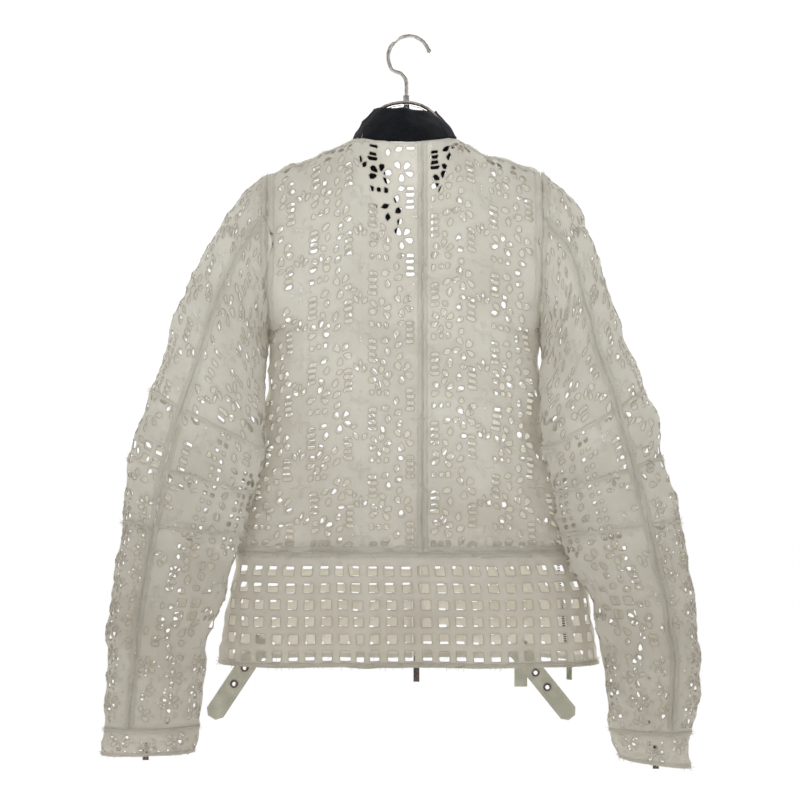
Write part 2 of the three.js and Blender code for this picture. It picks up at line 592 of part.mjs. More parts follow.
const PULLS = [
  { name: 'front', x: ZIP_X, y: bandFace(ZIP_X, HEM_Z), z: HEM_Z - 1, turn: 0, color: BRONZE },
  { name: 'side', x: 184.6, y: bandFace(184, HEM_Z + 4) + 0.6, z: HEM_Z + 3, turn: -42, color: OLIVE },
  { name: 'cuff_left', x: -302, y: cuffFace('left', -302), z: -801, turn: 0, color: BRONZE },
  { name: 'cuff_right', x: 283, y: cuffFace('right', 283), z: -811, turn: 0, color: BRONZE },
];
for (const { name, x, y, z, turn, color } of PULLS) {
  for (const [kind, geometry] of [['slider', slider()], ['pull', pullTab()]]) {
    const mesh = add(`${kind}_${name}`, geometry, metal(color));
    mesh.position.set(x, y, z);
    mesh.rotation.z = THREE.MathUtils.degToRad(turn);
  }
}

export default group;
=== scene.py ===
"""A lace jacket hanging on a wire hanger, seen from its back. The cloth is cut and mapped here in
millimetres, on the same form as the solids, and turned to metres when a mesh is made. +Z is up, -Y is
the jacket's back, and the origin is the inside of the top of the hanger hook."""

import math
import random

import bmesh
import bpy
import numpy as np
from bpy.props import FloatProperty, FloatVectorProperty, IntProperty, PointerProperty
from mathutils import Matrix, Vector
from mathutils.geometry import delaunay_2d_cdt


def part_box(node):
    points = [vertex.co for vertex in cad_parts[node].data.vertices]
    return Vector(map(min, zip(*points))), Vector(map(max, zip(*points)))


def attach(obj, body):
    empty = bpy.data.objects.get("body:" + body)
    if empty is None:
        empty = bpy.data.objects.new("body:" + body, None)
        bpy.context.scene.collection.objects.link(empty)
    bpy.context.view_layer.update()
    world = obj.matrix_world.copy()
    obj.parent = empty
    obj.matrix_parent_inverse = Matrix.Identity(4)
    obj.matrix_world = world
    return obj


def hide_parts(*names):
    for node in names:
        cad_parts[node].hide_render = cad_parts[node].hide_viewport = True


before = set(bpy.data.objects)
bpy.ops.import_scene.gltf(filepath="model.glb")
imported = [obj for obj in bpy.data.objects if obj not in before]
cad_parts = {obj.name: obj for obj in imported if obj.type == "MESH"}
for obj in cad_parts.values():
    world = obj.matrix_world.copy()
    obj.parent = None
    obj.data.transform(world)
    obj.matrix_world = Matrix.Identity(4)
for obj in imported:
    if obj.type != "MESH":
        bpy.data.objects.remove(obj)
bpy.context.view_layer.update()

bl_info = {
    "name": "Lace jacket on a hanger",
    "version": (1, 0, 0),
    "blender": (4, 5, 0),
    "location": "View3D > Sidebar > Jacket",
    "description": "Builds a cutwork jacket with a knitted collar on a wire hanger",
    "category": "Object",
}

MM = 0.001
BODY = "jacket"


def low(node):
    """A node's lowest corner in millimetres."""
    return [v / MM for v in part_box(node)[0]]


def high(node):
    """A node's highest corner in millimetres."""
    return [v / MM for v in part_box(node)[1]]


# The form of the solids, from the frame and from the same sizes
CLOTH = 0.9
RAISED_EDGE = 0.4
SEAM_GAP = 0.3
CENTRE_X = -5.0
BACK_SEAM_X = high("back_left")[0] + SEAM_GAP / 2
ZIP_X = (high("band_front_left")[0] + low("band_front_right")[0]) / 2
HEM_Z = low("band_back")[2]
HEM_SEAM_Z = high("band_back")[2] + SEAM_GAP / 2
BACK_DEPTH = 48.0
FRONT_DEPTH = 56.0
SIDE_ROUNDING = 92.0
SHOULDER_ROUNDING = 62.0
NECK_HALF_WIDTH = 62.0
NECK_POINT_Z = -116.0
BACK_NECK_Z = -125.0
FRONT_NECK_Z = -236.0
NECK_SLOPE = 0.51
SHOULDER_BEND = 100.0
SHOULDER_SLOPE = 0.37
ARMHOLE_DEPTH = 45.0
ARMHOLE_TOP_Z = -156.0
UNDERARM_Z = -336.0
ZIP_HALF_WIDTH = 5.0
NECK_GAP_HALF_WIDTH = 24.0
ZIP_OPEN_TO_Z = -345.0

# Half outline of the body below the arms: height, left edge, right edge
SIDE_EDGES = [
    (HEM_Z, -216.0, 219.0),
    (-646.0, -210.0, 209.0),
    (HEM_SEAM_Z, -200.0, 189.0),
    (-537.0, -186.0, 172.0),
    (-474.0, -173.0, 161.0),
    (-422.0, -166.0, 155.0),
    (-373.0, -160.0, 149.5),
    (UNDERARM_Z, -160.0, 149.0),
    (ARMHOLE_TOP_Z, -161.0, 150.0),
]
# Main folds of the body: x at the top and bottom, heights between, width and how far each stands out
FOLDS = [
    (-62.0, -50.0, -470.0, HEM_Z, 16.0, 7.0),
    (-96.0, -84.0, -500.0, -610.0, 22.0, -6.0),
    (70.0, 92.0, -330.0, HEM_Z, 34.0, 4.0),
    (128.0, 150.0, -450.0, HEM_Z, 24.0, -4.0),
    (-132.0, -150.0, -430.0, HEM_Z, 26.0, 4.0),
]


def lerp(a, b, share):
    return a + (b - a) * share


def rounded(share):
    """A quarter of a round: 0 at the edge, 1 from the rounding's full width on."""
    return np.sqrt(1 - (1 - np.clip(share, 0, 1)) ** 2)


def side_x(z, left):
    heights = [row[0] for row in SIDE_EDGES]
    return np.interp(z, heights, [row[1 if left else 2] for row in SIDE_EDGES])


def fold_at(x, z):
    out = np.zeros(np.broadcast(x, z).shape)
    for top, bottom, start, end, width, height in FOLDS:
        down = np.clip((z - start) / (end - start), 0, 1)
        middle = lerp(top, bottom, down)
        out += height * np.minimum(1, down * 4) * np.exp(-(((x - middle) / width) ** 2))
    return out


def shoulder_z(x):
    away = np.abs(x - CENTRE_X)
    beside = np.minimum(away, SHOULDER_BEND) - NECK_HALF_WIDTH
    return NECK_POINT_Z - beside * NECK_SLOPE - np.maximum(0, away - SHOULDER_BEND) * SHOULDER_SLOPE


def side_depth(z):
    half = (ARMHOLE_TOP_Z - UNDERARM_Z) / 2
    inside = np.clip(1 - ((z - UNDERARM_Z - half) / half) ** 2, 0, 1)
    return np.where((z > UNDERARM_Z) & (z < ARMHOLE_TOP_Z), ARMHOLE_DEPTH * np.sqrt(inside), 0)


def body_point(x, z, face):
    """The body's outer face over (x, z) of the view, on its back (-1) or front (+1)."""
    x, z = np.asarray(x, float), np.asarray(z, float)
    inward = np.abs(x - np.where(x < CENTRE_X, side_x(z, True), side_x(z, False)))
    full = (BACK_DEPTH if face < 0 else FRONT_DEPTH) + fold_at(x if face < 0 else -x, z)
    over = rounded((shoulder_z(x) - z) / SHOULDER_ROUNDING)
    depth = lerp(side_depth(z), full * over, rounded(inward / SIDE_ROUNDING))
    return np.stack([x, face * (depth + SEAM_GAP / 2), z], -1)


def neck_z(x, face):
    share = np.clip(np.abs(x - CENTRE_X) / NECK_HALF_WIDTH, 0, 1)
    if face < 0:
        return lerp(BACK_NECK_Z, NECK_POINT_Z, share**2)
    return lerp(FRONT_NECK_Z, NECK_POINT_Z, share**1.35)


def top_z(x, face):
    return np.where(np.abs(x - CENTRE_X) > NECK_HALF_WIDTH, shoulder_z(x), neck_z(x, face))


def front_gap(z):
    share = np.clip((z - ZIP_OPEN_TO_Z) / (FRONT_NECK_Z - ZIP_OPEN_TO_Z), 0, 1)
    return lerp(ZIP_HALF_WIDTH, NECK_GAP_HALF_WIDTH, share)


def panel_place(left, face):
    """A body panel over (u, v): u from the side to the middle, v from the hem seam to the top."""
    sign = -1 if left else 1

    def edge(z):
        if face < 0:
            return BACK_SEAM_X + sign * SEAM_GAP / 2
        return ZIP_X + sign * front_gap(z)

    def place(u, v):
        u, v = np.asarray(u, float), np.asarray(v, float)
        tip = side_x(ARMHOLE_TOP_Z, left)
        x_top = lerp(tip, edge(-200.0), u)
        z = lerp(HEM_SEAM_Z + SEAM_GAP / 2, top_z(x_top, face), v)
        x = lerp(side_x(z, left), edge(z), u)
        return body_point(x, np.minimum(z, top_z(x, face)), face)

    return place


def band_place(face, start=None, end=None):
    def place(u, v):
        u, v = np.asarray(u, float), np.asarray(v, float)
        z = lerp(HEM_Z, HEM_SEAM_Z - SEAM_GAP / 2, v)
        a = side_x(z, True) if start is None else start
        b = side_x(z, False) if end is None else end
        return body_point(lerp(a, b, u), z, face)

    return place


# Sleeve rings, from the shoulder down: outer x and z, inner x and z
RING_EDGES = {
    "left": [
        (-162.4, -156, -161.4, -336), (-187, -174, -163, -352), (-208, -200, -163, -372),
        (-230, -244, -163, -398), (-247, -280, -162, -422), (-266, -330, -161, -446),
        (-285, -382, -163, -475), (-304, -434, -169, -506), (-317, -485, -177, -537),
        (-324, -537, -189, -568), (-330, -589, -201, -603), (-337, -641, -215, -646),
        (-342, -692, -227, -692), (-344, -744, -234, -744), (-345, -786, -239, -783),
        (-348, -818, -243, -815),
    ],
    "right": [
        (151.4, -156, 150.4, -336), (175, -175, 152, -352), (196, -200, 152, -372), (212, -244, 151, -398),
        (224, -280, 150, -422), (240, -330, 150, -446), (260, -382, 152, -475), (276, -434, 157, -508),
        (290, -485, 162, -537), (304, -537, 171, -568), (314, -589, 185, -603), (323, -641, 207, -646),
        (329, -692, 217, -692), (327, -744, 224, -744), (323, -790, 229, -787), (321, -833, 234, -822),
    ],
}
# Middle y and half depth of each ring, the same in both sleeves
RING_DEPTHS = [
    (0, 45), (-3, 45), (-10, 45), (-20, 43), (-29, 42), (-35, 41), (-38, 40), (-38, 40), (-38, 39),
    (-38, 37), (-38, 35), (-38, 33), (-38, 31), (-38, 28), (-38, 26), (-38, 25),
]
RINGS = {
    side: [(*edges, *depths) for edges, depths in zip(rows, RING_DEPTHS)] for side, rows in RING_EDGES.items()
}
SLEEVE_END = 14.0
CUFF_END = 15.0
# Cross creases of the sleeves: ring at the outer edge, slant, width in rings and depth
SLEEVE_CREASES = [
    (4.6, 0.8, 0.35, 3.0),
    (6.7, 0.5, 0.3, 4.0),
    (8.3, 0.4, 0.3, 4.5),
    (9.6, 0.3, 0.3, 3.5),
    (7.6, -0.5, 0.22, 2.2),
    (5.6, -0.4, 0.22, 1.8),
    (10.7, 0.5, 0.3, 1.8),
]
BACK_SLEEVE_SEAM = math.radians(66)
FRONT_SLEEVE_SEAM = math.radians(-120)
SLEEVE_SEAM_GAP = math.radians(0.25)


def ring_point(side, angle, t):
    """The sleeve's outer face: angle 0 is the outer edge, a quarter turn the side towards -Y."""
    rings = np.array(RINGS[side], float)
    at = np.arange(len(rings))
    ox, oz, ix, iz, my, half = (np.interp(t, at, rings[:, k]) for k in range(6))
    depth = half.copy()
    for ring, slant, width, deep in SLEEVE_CREASES:
        off = t - ring - slant * (1 - np.cos(angle)) / 2
        depth = depth - deep * np.exp(-((off / width) ** 2))
    share = (1 + np.cos(angle)) / 2
    return np.stack([lerp(ix, ox, share), my - depth * np.sin(angle), lerp(iz, oz, share)], -1)


def sleeve_place(side, start, end, first=0.0, last=SLEEVE_END):
    def place(u, v):
        u, v = np.asarray(u, float), np.asarray(v, float)
        return ring_point(side, lerp(start, end, u), lerp(first, last, v))

    return place


def normals_of(place, u, v):
    """Unit normals of a surface over (u, v), with one-sided steps at its rim."""
    step = 1e-4
    du = place(np.minimum(u + step, 1), v) - place(np.maximum(u - step, 0), v)
    dv = place(u, np.minimum(v + step, 1)) - place(u, np.maximum(v - step, 0))
    n = np.cross(du, dv)
    return n / np.maximum(np.linalg.norm(n, axis=-1, keepdims=True), 1e-9)


def make_waves(seed, rows):
    """Waves in directions of their own, from rows of wavelength in millimetres, height and count."""
    rng = random.Random(seed)
    waves = []
    for length, height, count in rows:
        for _ in range(count):
            d = Vector([rng.gauss(0, 1) for _ in range(3)]).normalized()
            waves.append((np.array(d) * 2 * math.pi / length, rng.uniform(0, 6.28), height))
    return waves


# Small creases everywhere
CRUMPLE = make_waves(4, [(120, 1.5, 3), (64, 1.0, 5), (33, 0.5, 6), (16, 0.26, 6), (9, 0.14, 6)])
# Creases of the hanging cloth: from x, z to x, z, width, height, and the back (-1) or front (+1)
CREASES = [
    (-150, -180, -98, -262, 9, 2.2, -1), (-140, -236, -112, -330, 8, 1.8, -1),
    (-124, -300, -136, -420, 9, 2.2, -1), (-88, -210, -112, -320, 10, -1.8, -1),
    (-30, -380, -44, -560, 8, 1.8, -1), (40, -430, 60, -640, 11, 2.4, -1), (62, -300, 30, -420, 10, -1.8, -1),
    (104, -190, 132, -270, 9, 2.2, -1), (118, -280, 84, -400, 9, 1.9, -1), (120, -420, 140, -560, 9, 2.4, -1),
    (-100, -480, -128, -600, 10, 2.6, -1), (10, -560, 96, -528, 9, 1.6, -1),
    (-160, -560, -60, -530, 9, 1.5, -1), (140, -600, 168, -700, 10, 3.0, -1),
    (-150, -600, -176, -705, 11, 3.0, -1), (-20, -600, -30, -715, 9, -2.4, -1),
    (-80, -320, -128, -500, 12, 2.4, 1), (84, -330, 120, -560, 12, 2.2, 1),
    (-60, -560, -86, -700, 12, 2.8, 1), (70, -590, 96, -705, 12, 2.6, 1),
    (-120, -200, -84, -300, 10, 2.0, 1), (116, -210, 76, -320, 10, 2.0, 1),
]
CRUMPLE_SHARE = 0.85


def crumple(points):
    """How far the cloth stands out from its form: the creases, and small waves everywhere."""
    out = np.zeros(len(points))
    for direction, phase, height in CRUMPLE:
        out += height * np.sin(points @ direction + phase)
    out *= CRUMPLE_SHARE
    x, y, z = points.T
    for ax, az, bx, bz, width, height, face in CREASES:
        span = (bx - ax) ** 2 + (bz - az) ** 2
        along = np.clip(((x - ax) * (bx - ax) + (z - az) * (bz - az)) / span, 0, 1)
        off = np.hypot(x - lerp(ax, bx, along), z - lerp(az, bz, along))
        fade = np.clip(1.2 * np.sin(math.pi * np.clip(along, 0.04, 0.96)), 0, 1)
        out += height * fade * np.exp(-((off / width) ** 2)) * (np.sign(y) == face)
    return out * bpy.context.scene.jacket_sizes.crease_strength


# Shapes of the cut holes, each a convex loop round its own middle, in millimetres
def turned(loop, degrees):
    a = math.radians(degrees)
    turn = np.array([[math.cos(a), math.sin(a)], [-math.sin(a), math.cos(a)]])
    return np.asarray(loop) @ turn


def soft_box(width, height, corner, skew=0.0):
    """A rounded rectangle, or a trapezoid where skew narrows its upper side."""
    w, h = width / 2, height / 2
    c = min(corner, w * 0.6, h * 0.6)
    top = 1 - skew
    loop = [(w - c, -h), (w, -h + c), (w * top, h - c), (w * top - c, h)]
    return np.array(loop + [(-x, y) for x, y in reversed(loop)])


def leaf(length, width):
    steps = np.linspace(-1, 1, 5)
    upper = [(x * length / 2, (1 - x * x) * width / 2) for x in steps]
    return np.array([(x, -y) for x, y in upper] + [(x, y) for x, y in reversed(upper[1:-1])])


def petal(length, width):
    """Narrow towards the flower's middle, round at its outer end."""
    loop = [(0, -0.5), (0.3, -0.28), (0.5, 0.12), (0.3, 0.42)]
    return np.array(loop + [(-x, y) for x, y in loop[:0:-1]]) * [width, length]


DOT_SIDES = 6


def dot(radius):
    a = np.arange(DOT_SIDES) * 2 * math.pi / DOT_SIDES
    return np.stack([radius * np.cos(a), radius * np.sin(a)], -1)


def flower(count, radius, length, width, start=0.0):
    """Petal holes round a middle: (x, y, loop) for each."""
    out = []
    for k in range(count):
        degrees = start + k * 360 / count
        a = math.radians(degrees)
        out.append((radius * math.sin(a), radius * math.cos(a), turned(petal(length, width), -degrees)))
    return out


LADDER_SKEW = 0.12


def ladder(count, pitch, width, height, upright=True):
    """Rungs one above the other, or side by side, that narrow up and down in turn."""
    out = []
    for k in range(count):
        along = (k - (count - 1) / 2) * pitch
        loop = soft_box(width, height, 1.2, LADDER_SKEW if k % 2 else -LADDER_SKEW)
        out.append((0, along, loop) if upright else (along, 0, turned(loop, 90)))
    return out


def moved(parts, x, y):
    return [(a + x, b + y, loop) for a, b, loop in parts]


TILE_WIDTH = 70.0
TILE_HEIGHT = 77.0


def body_tile():
    """One repeat of the body's cutwork: a plain cross pricked with dots, ladders of bars beside it,
    and rosettes of leaves in its corners."""
    parts = [(x, 0, dot(0.85)) for x in np.arange(-3, 4) * 3.4]
    parts += [(0, y, dot(0.85)) for y in np.arange(-3, 4) * 3.4 if y]
    parts += moved(ladder(4, 7.3, 9.6, 4.6), 13.8, -20.5)
    parts += moved(ladder(4, 7.3, 9.2, 4.6), -13.8, 21.5)
    parts += moved(ladder(3, 8.2, 5.8, 5.2, upright=False), 21, 9.8)
    parts += moved(flower(6, 8.8, 10, 7.0, 10), 22.5, 27)
    parts += moved(flower(5, 8.6, 10.4, 7.4, 40), -23, -24.5)
    for degrees in (-62, -31, 0, 31, 62):
        a = math.radians(degrees)
        parts.append((9.5 * math.sin(a), 28 + 9.5 * math.cos(a), turned(leaf(10, 5.2), 90 - degrees)))
        parts.append((-8.5 * math.sin(a), -27 - 8.5 * math.cos(a), turned(leaf(8.6, 4.4), 90 - degrees)))
    rows = (
        (-13.5, -10.5, 10.8, 6.6, 8), (-26, -6, 9, 6.4, 60), (-27, 7, 10, 6.8, 35), (-29, 20, 10, 6.6, 75),
        (28, -8, 10.4, 7, 25), (31, -20, 10, 6.6, 85), (25.5, -32, 9, 6, 130), (-24, 32, 9, 6.2, 15),
        (34, 8, 8.4, 5.6, 95),
    )
    return parts + [(x, y, turned(leaf(length, width), degrees)) for x, y, length, width, degrees in rows]


def eyelet_tile():
    """One repeat of the lower sleeve's cutwork: a six-petal flower with small leaves and dots."""
    parts = flower(6, 7.4, 8.4, 5.2)
    parts += [(0, 0, dot(1.3))]
    for k in range(6):
        a = math.radians(30 + 60 * k)
        parts.append((13.6 * math.sin(a), 13.6 * math.cos(a), dot(1.25)))
    return parts


EYELET_WIDTH = 31.0
EYELET_HEIGHT = 27.0


# How far each hole may stray from its place, in millimetres
WOBBLE = 0.35


def repeat(tile, width, height, s_range, t_range, brick, seed):
    """The tile's holes over a stretch of cloth, each a little uneven, as cut and washed cloth is."""
    rng = random.Random(seed)
    out = []
    columns = range(math.floor(s_range[0] / width) - 1, math.ceil(s_range[1] / width) + 2)
    for column in columns:
        shift = (column % 2) * brick * height
        first, last = ((t - shift) / height for t in t_range)
        for row in range(math.floor(first) - 1, math.ceil(last) + 2):
            for x, y, loop in tile:
                jx, jy = rng.uniform(-WOBBLE, WOBBLE), rng.uniform(-WOBBLE, WOBBLE)
                if len(loop) > DOT_SIDES:
                    loop = loop * [[rng.uniform(0.92, 1.1)] for _ in loop] * rng.uniform(1.02, 1.14)
                out.append((column * width + x + jx, row * height + shift + y + jy, loop))
    return out


class Cloth:
    """Cloth cut flat in millimetres and laid on place(u, v). s runs along u and is 0 at u = s_zero,
    and t runs along v from its lower or upper rim, where v is 0."""

    def __init__(self, place, middle, s_zero=0.5, cells=(90, 120)):
        self.place = place
        centre = np.array([0.5])
        outward = np.sum(normals_of(place, centre, centre) * (place(centre, centre) - middle))
        self.outward = 1 if outward > 0 else -1
        us, vs = np.linspace(0, 1, cells[0] + 1), np.linspace(0, 1, cells[1] + 1)
        grid = place(*np.meshgrid(us, vs, indexing="ij"))
        across = np.linalg.norm(np.diff(grid, axis=0), axis=-1)
        down = np.linalg.norm(np.diff(grid, axis=1), axis=-1)
        self.us, self.vs = us, vs
        self.s = np.concatenate([np.zeros((1, len(vs))), np.cumsum(across, 0)])
        self.t = np.concatenate([np.zeros((len(us), 1)), np.cumsum(down, 1)], 1)
        k = int(round(s_zero * cells[0]))
        self.s = self.s - self.s[k]
        self.mid_t = self.t[cells[0] // 2]
        self.width = float(np.mean(self.s[-1] - self.s[0]))
        self.length = float(self.mid_t[-1])
        self.area = float((across[:, :-1] * down[:-1, :]).sum())

    def lie(self, u, v, lift=0.0):
        """Points on the hanging cloth, lifted off it, and its outward normals there."""
        u, v = np.broadcast_arrays(np.asarray(u, float), np.asarray(v, float))
        points = self.place(u, v)
        normal = normals_of(self.place, u, v) * self.outward
        return points + normal * (crumple(points) + lift)[:, None], normal

    def uv_of(self, s, t):
        """(u, v) of a point of the flat cloth, with the cloth's scale there, or None outside."""
        v = float(np.interp(t, self.mid_t, self.vs))
        j = min(int(v * (len(self.vs) - 1)), len(self.vs) - 2)
        row = lerp(self.s[:, j], self.s[:, j + 1], v * (len(self.vs) - 1) - j)
        if not row[0] < s < row[-1] or not 0 < t < self.length:
            return None
        u = float(np.interp(s, row, self.us))
        i = min(int(u * (len(self.us) - 1)), len(self.us) - 2)
        du = (row[i + 1] - row[i]) * (len(self.us) - 1)
        dv = (self.t[i, j + 1] - self.t[i, j]) * (len(self.vs) - 1)
        return u, v, du, dv


MARGIN = 3.2
BRIDGE = 0.95
RIM_WIDTH = 0.42


def clear_of(kept, middle, radius, placed):
    """True where a hole leaves a bridge of cloth to each hole that is cut already."""
    if not kept:
        return True
    middles = np.array([k[0] for k in kept])
    radii = np.array([k[1] for k in kept])
    near = np.flatnonzero(np.linalg.norm(middles - middle, axis=1) < radii + radius + BRIDGE)
    for k in near:
        other = kept[k][2]
        edge = np.concatenate([other, (other + np.roll(other, 1, 0)) / 2])
        own = np.concatenate([placed, (placed + np.roll(placed, 1, 0)) / 2])
        if np.linalg.norm(edge[:, None] - own[None], axis=2).min() < BRIDGE:
            return False
        if np.linalg.norm(kept[k][0] - middle) < 0.6 * max(kept[k][1], radius):
            return False
    return True


def divided(loop, longest=3.2):
    """The loop with points added wherever two lie far apart."""
    points = []
    for a, b in zip(loop, np.roll(loop, -1, 0)):
        parts = max(1, math.ceil(np.linalg.norm(b - a) / longest))
        points.extend(a + (b - a) * k / parts for k in range(parts))
    return np.array(points)


def cut_cloth(cloth, holes, step=7.0, margin=MARGIN, keep=None):
    """Cuts the holes out of the cloth and returns (u, v) of each point, the triangles, and which
    points lie on a hole's edge. A hole nearer to the rim than the margin is left out."""
    width, length = cloth.width, cloth.length
    points, edges, owner = [], [], []

    def add_loop(loop, tag):
        first = len(points)
        points.extend(Vector((float(a), float(b))) for a, b in loop)
        owner.extend([tag] * len(loop))
        edges.extend((first + k, first + (k + 1) % len(loop)) for k in range(len(loop)))

    def rim_points(count, fixed, along_u):
        shares = np.linspace(0, 1, count + 1)[:-1]
        return [(a * width, fixed) if along_u else (fixed, a * length) for a in shares]

    nu, nv = max(4, round(width / step)), max(4, round(length / step))
    rim = rim_points(nu, 0, True) + rim_points(nv, width, False)
    rim += [(width - a, length) for a, _ in rim_points(nu, 0, True)]
    rim += [(0, length - b) for _, b in rim_points(nv, 0, False)]
    add_loop(rim, 0)
    kept, pricked = [], {0}
    for s, t, loop in holes:
        found = cloth.uv_of(s, t)
        if found is None or (keep and not keep(found[0], found[1])):
            continue
        u, v, du, dv = found
        if du < 0.25 * width or dv < 0.25 * length:
            continue
        placed = np.stack([(u + loop[:, 0] / du) * width, (v + loop[:, 1] / dv) * length], -1)
        near_u, near_v = margin * width / du, margin * length / dv
        if placed[:, 0].min() < near_u or placed[:, 0].max() > width - near_u:
            continue
        if placed[:, 1].min() < near_v or placed[:, 1].max() > length - near_v:
            continue
        middle = placed.mean(0)
        radius = np.linalg.norm(placed - middle, axis=1).max()
        if not clear_of(kept, middle, radius, placed):
            continue
        kept.append((middle, radius, placed))
    middles = np.array([k[0] for k in kept]) if kept else np.zeros((0, 2))
    radii = np.array([k[1] for k in kept])
    for number, (middle, _, placed) in enumerate(kept):
        if len(placed) <= DOT_SIDES:
            pricked.add(number + 1)
            add_loop(placed, number + 1)
        else:
            placed = divided(placed)
            add_loop(placed, number + 1)
            outward = placed - middle
            ring = placed + RIM_WIDTH * outward / np.linalg.norm(outward, axis=1, keepdims=True)
            points.extend(Vector((float(a), float(b))) for a, b in ring)
            owner.extend([-1] * len(ring))
    for i in range(1, nu):
        for j in range(1, nv):
            p = np.array([(i + 0.5 * (j % 2) - 0.25) * width / nu, j * length / nv])
            if len(middles) and (np.linalg.norm(middles - p, axis=1) < radii + 1.2).any():
                continue
            points.append(Vector(p))
            owner.append(-1)
    out = delaunay_2d_cdt(points, edges, [], 1, 1e-5)
    verts, faces, origins = out[0], out[2], out[3]
    tags = np.array([owner[o[0]] if o and o[0] < len(owner) else -1 for o in origins])
    tri = np.array([f for f in faces if len(f) == 3])
    same = (tags[tri[:, 0]] == tags[tri[:, 1]]) & (tags[tri[:, 1]] == tags[tri[:, 2]]) & (tags[tri[:, 0]] > 0)
    tri = tri[~same]
    flat = np.array([(p.x, p.y) for p in verts])
    uv = np.clip(np.stack([flat[:, 0] / width, flat[:, 1] / length], -1), 0, 1)
    return uv, tri, (tags > 0) & ~np.isin(tags, list(pricked))


def new_object(name, points, faces, material, smooth=True):
    """An object that rides on the jacket, from points in millimetres."""
    mesh = bpy.data.meshes.new(name)
    mesh.from_pydata((np.asarray(points) * MM).tolist(), [], faces)
    if smooth:
        mesh.shade_smooth()
    mesh.materials.append(material)
    piece = bpy.data.objects.new(name, mesh)
    bpy.context.collection.objects.link(piece)
    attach(piece, BODY)
    return piece


def lay_cloth(name, cloth, holes, material, step=7.0, thickness=None, margin=MARGIN, keep=None):
    """Cuts the cloth, lays it on its form with its creases, and gives it its thickness. That is the
    jacket's own thickness of cotton, if no other is given in millimetres."""
    uv, tri, on_hole = cut_cloth(cloth, holes, step, margin, keep)
    used = np.unique(tri)
    renumber = np.zeros(len(uv), int)
    renumber[used] = np.arange(len(used))
    uv, tri, on_hole = uv[used], renumber[tri], on_hole[used]
    points, normal = cloth.lie(uv[:, 0], uv[:, 1], RAISED_EDGE * on_hole)
    a, b, c = points[tri[:, 0]], points[tri[:, 1]], points[tri[:, 2]]
    wrong = np.einsum("ij,ij->i", np.cross(b - a, c - a), normal[tri[:, 0]]) < 0
    tri[wrong] = tri[wrong][:, ::-1]
    piece = new_object(name, points, tri.tolist(), material)
    mesh = piece.data
    uvs = mesh.uv_layers.new(name="Cloth")
    loops = np.zeros(len(mesh.loops), int)
    mesh.loops.foreach_get("vertex_index", loops)
    uvs.data.foreach_set("uv", (uv * [cloth.width, cloth.length])[loops].ravel() * MM)
    edge = mesh.attributes.new("cut_edge", "FLOAT", "POINT")
    edge.data.foreach_set("value", on_hole.astype(float))
    solid = piece.modifiers.new("thickness", "SOLIDIFY")
    solid.thickness = thickness * MM if thickness else bpy.context.scene.jacket_sizes.cloth_thickness
    solid.offset = -1
    return piece


class Strands:
    """Many threads, stitches or teeth that are kept as one object."""

    def __init__(self):
        self.points, self.faces, self.count = [], [], 0

    def add(self, points, faces):
        self.faces.extend(tuple(k + self.count for k in face) for face in faces)
        self.points.extend(points)
        self.count += len(points)

    def tube(self, path, radius):
        """A three-sided thread along the path, a little thinner towards its end."""
        sides = 3
        path = np.asarray(path, float)
        rings = []
        ahead = path[-1] - path[0]
        side = np.cross(ahead, (0.31, 0.52, 0.79))
        side /= np.linalg.norm(side)
        up = np.cross(ahead, side)
        up /= np.linalg.norm(up)
        for k, centre in enumerate(path):
            r = radius * (1 - 0.35 * k / (len(path) - 1))
            for n in range(sides):
                a = 2 * math.pi * n / sides
                rings.append(centre + r * (side * math.cos(a) + up * math.sin(a)))
        faces = [tuple(range(sides)), tuple(range((len(path) - 1) * sides, len(path) * sides))[::-1]]
        for k in range(len(path) - 1):
            for n in range(sides):
                m = (n + 1) % sides
                faces.append((k * sides + n, (k + 1) * sides + n, (k + 1) * sides + m, k * sides + m))
        self.add(rings, faces)

    def block(self, centre, along, across, out, size):
        """A small block: a stitch or a tooth."""
        halves = [np.asarray(d, float) * h / 2 for d, h in zip((along, across, out), size)]
        corners = [centre + i * halves[0] + j * halves[1] + k * halves[2]
                   for i in (-1, 1) for j in (-1, 1) for k in (-1, 1)]
        ends = [(0, 1, 3, 2), (4, 6, 7, 5)]
        sides = [(0, 4, 5, 1), (2, 3, 7, 6), (0, 2, 6, 4), (1, 5, 7, 3)]
        self.add(corners, ends + sides)

    def make(self, name, material, smooth=True):
        return new_object(name, self.points, self.faces, material, smooth)


def unit(v):
    return v / np.maximum(np.linalg.norm(v, axis=-1, keepdims=True), 1e-9)


SEAM_STEP = 4.0
TAPE_LIFT = 0.3
TAPE_CROWN = 0.12
FRAY_LENGTHS = (1.8, 6.0)
FRAY_RADIUS = 0.26
STITCH_PITCH = 3.2
STITCH_LIFT = 0.75
STITCH_INSET = 0.9


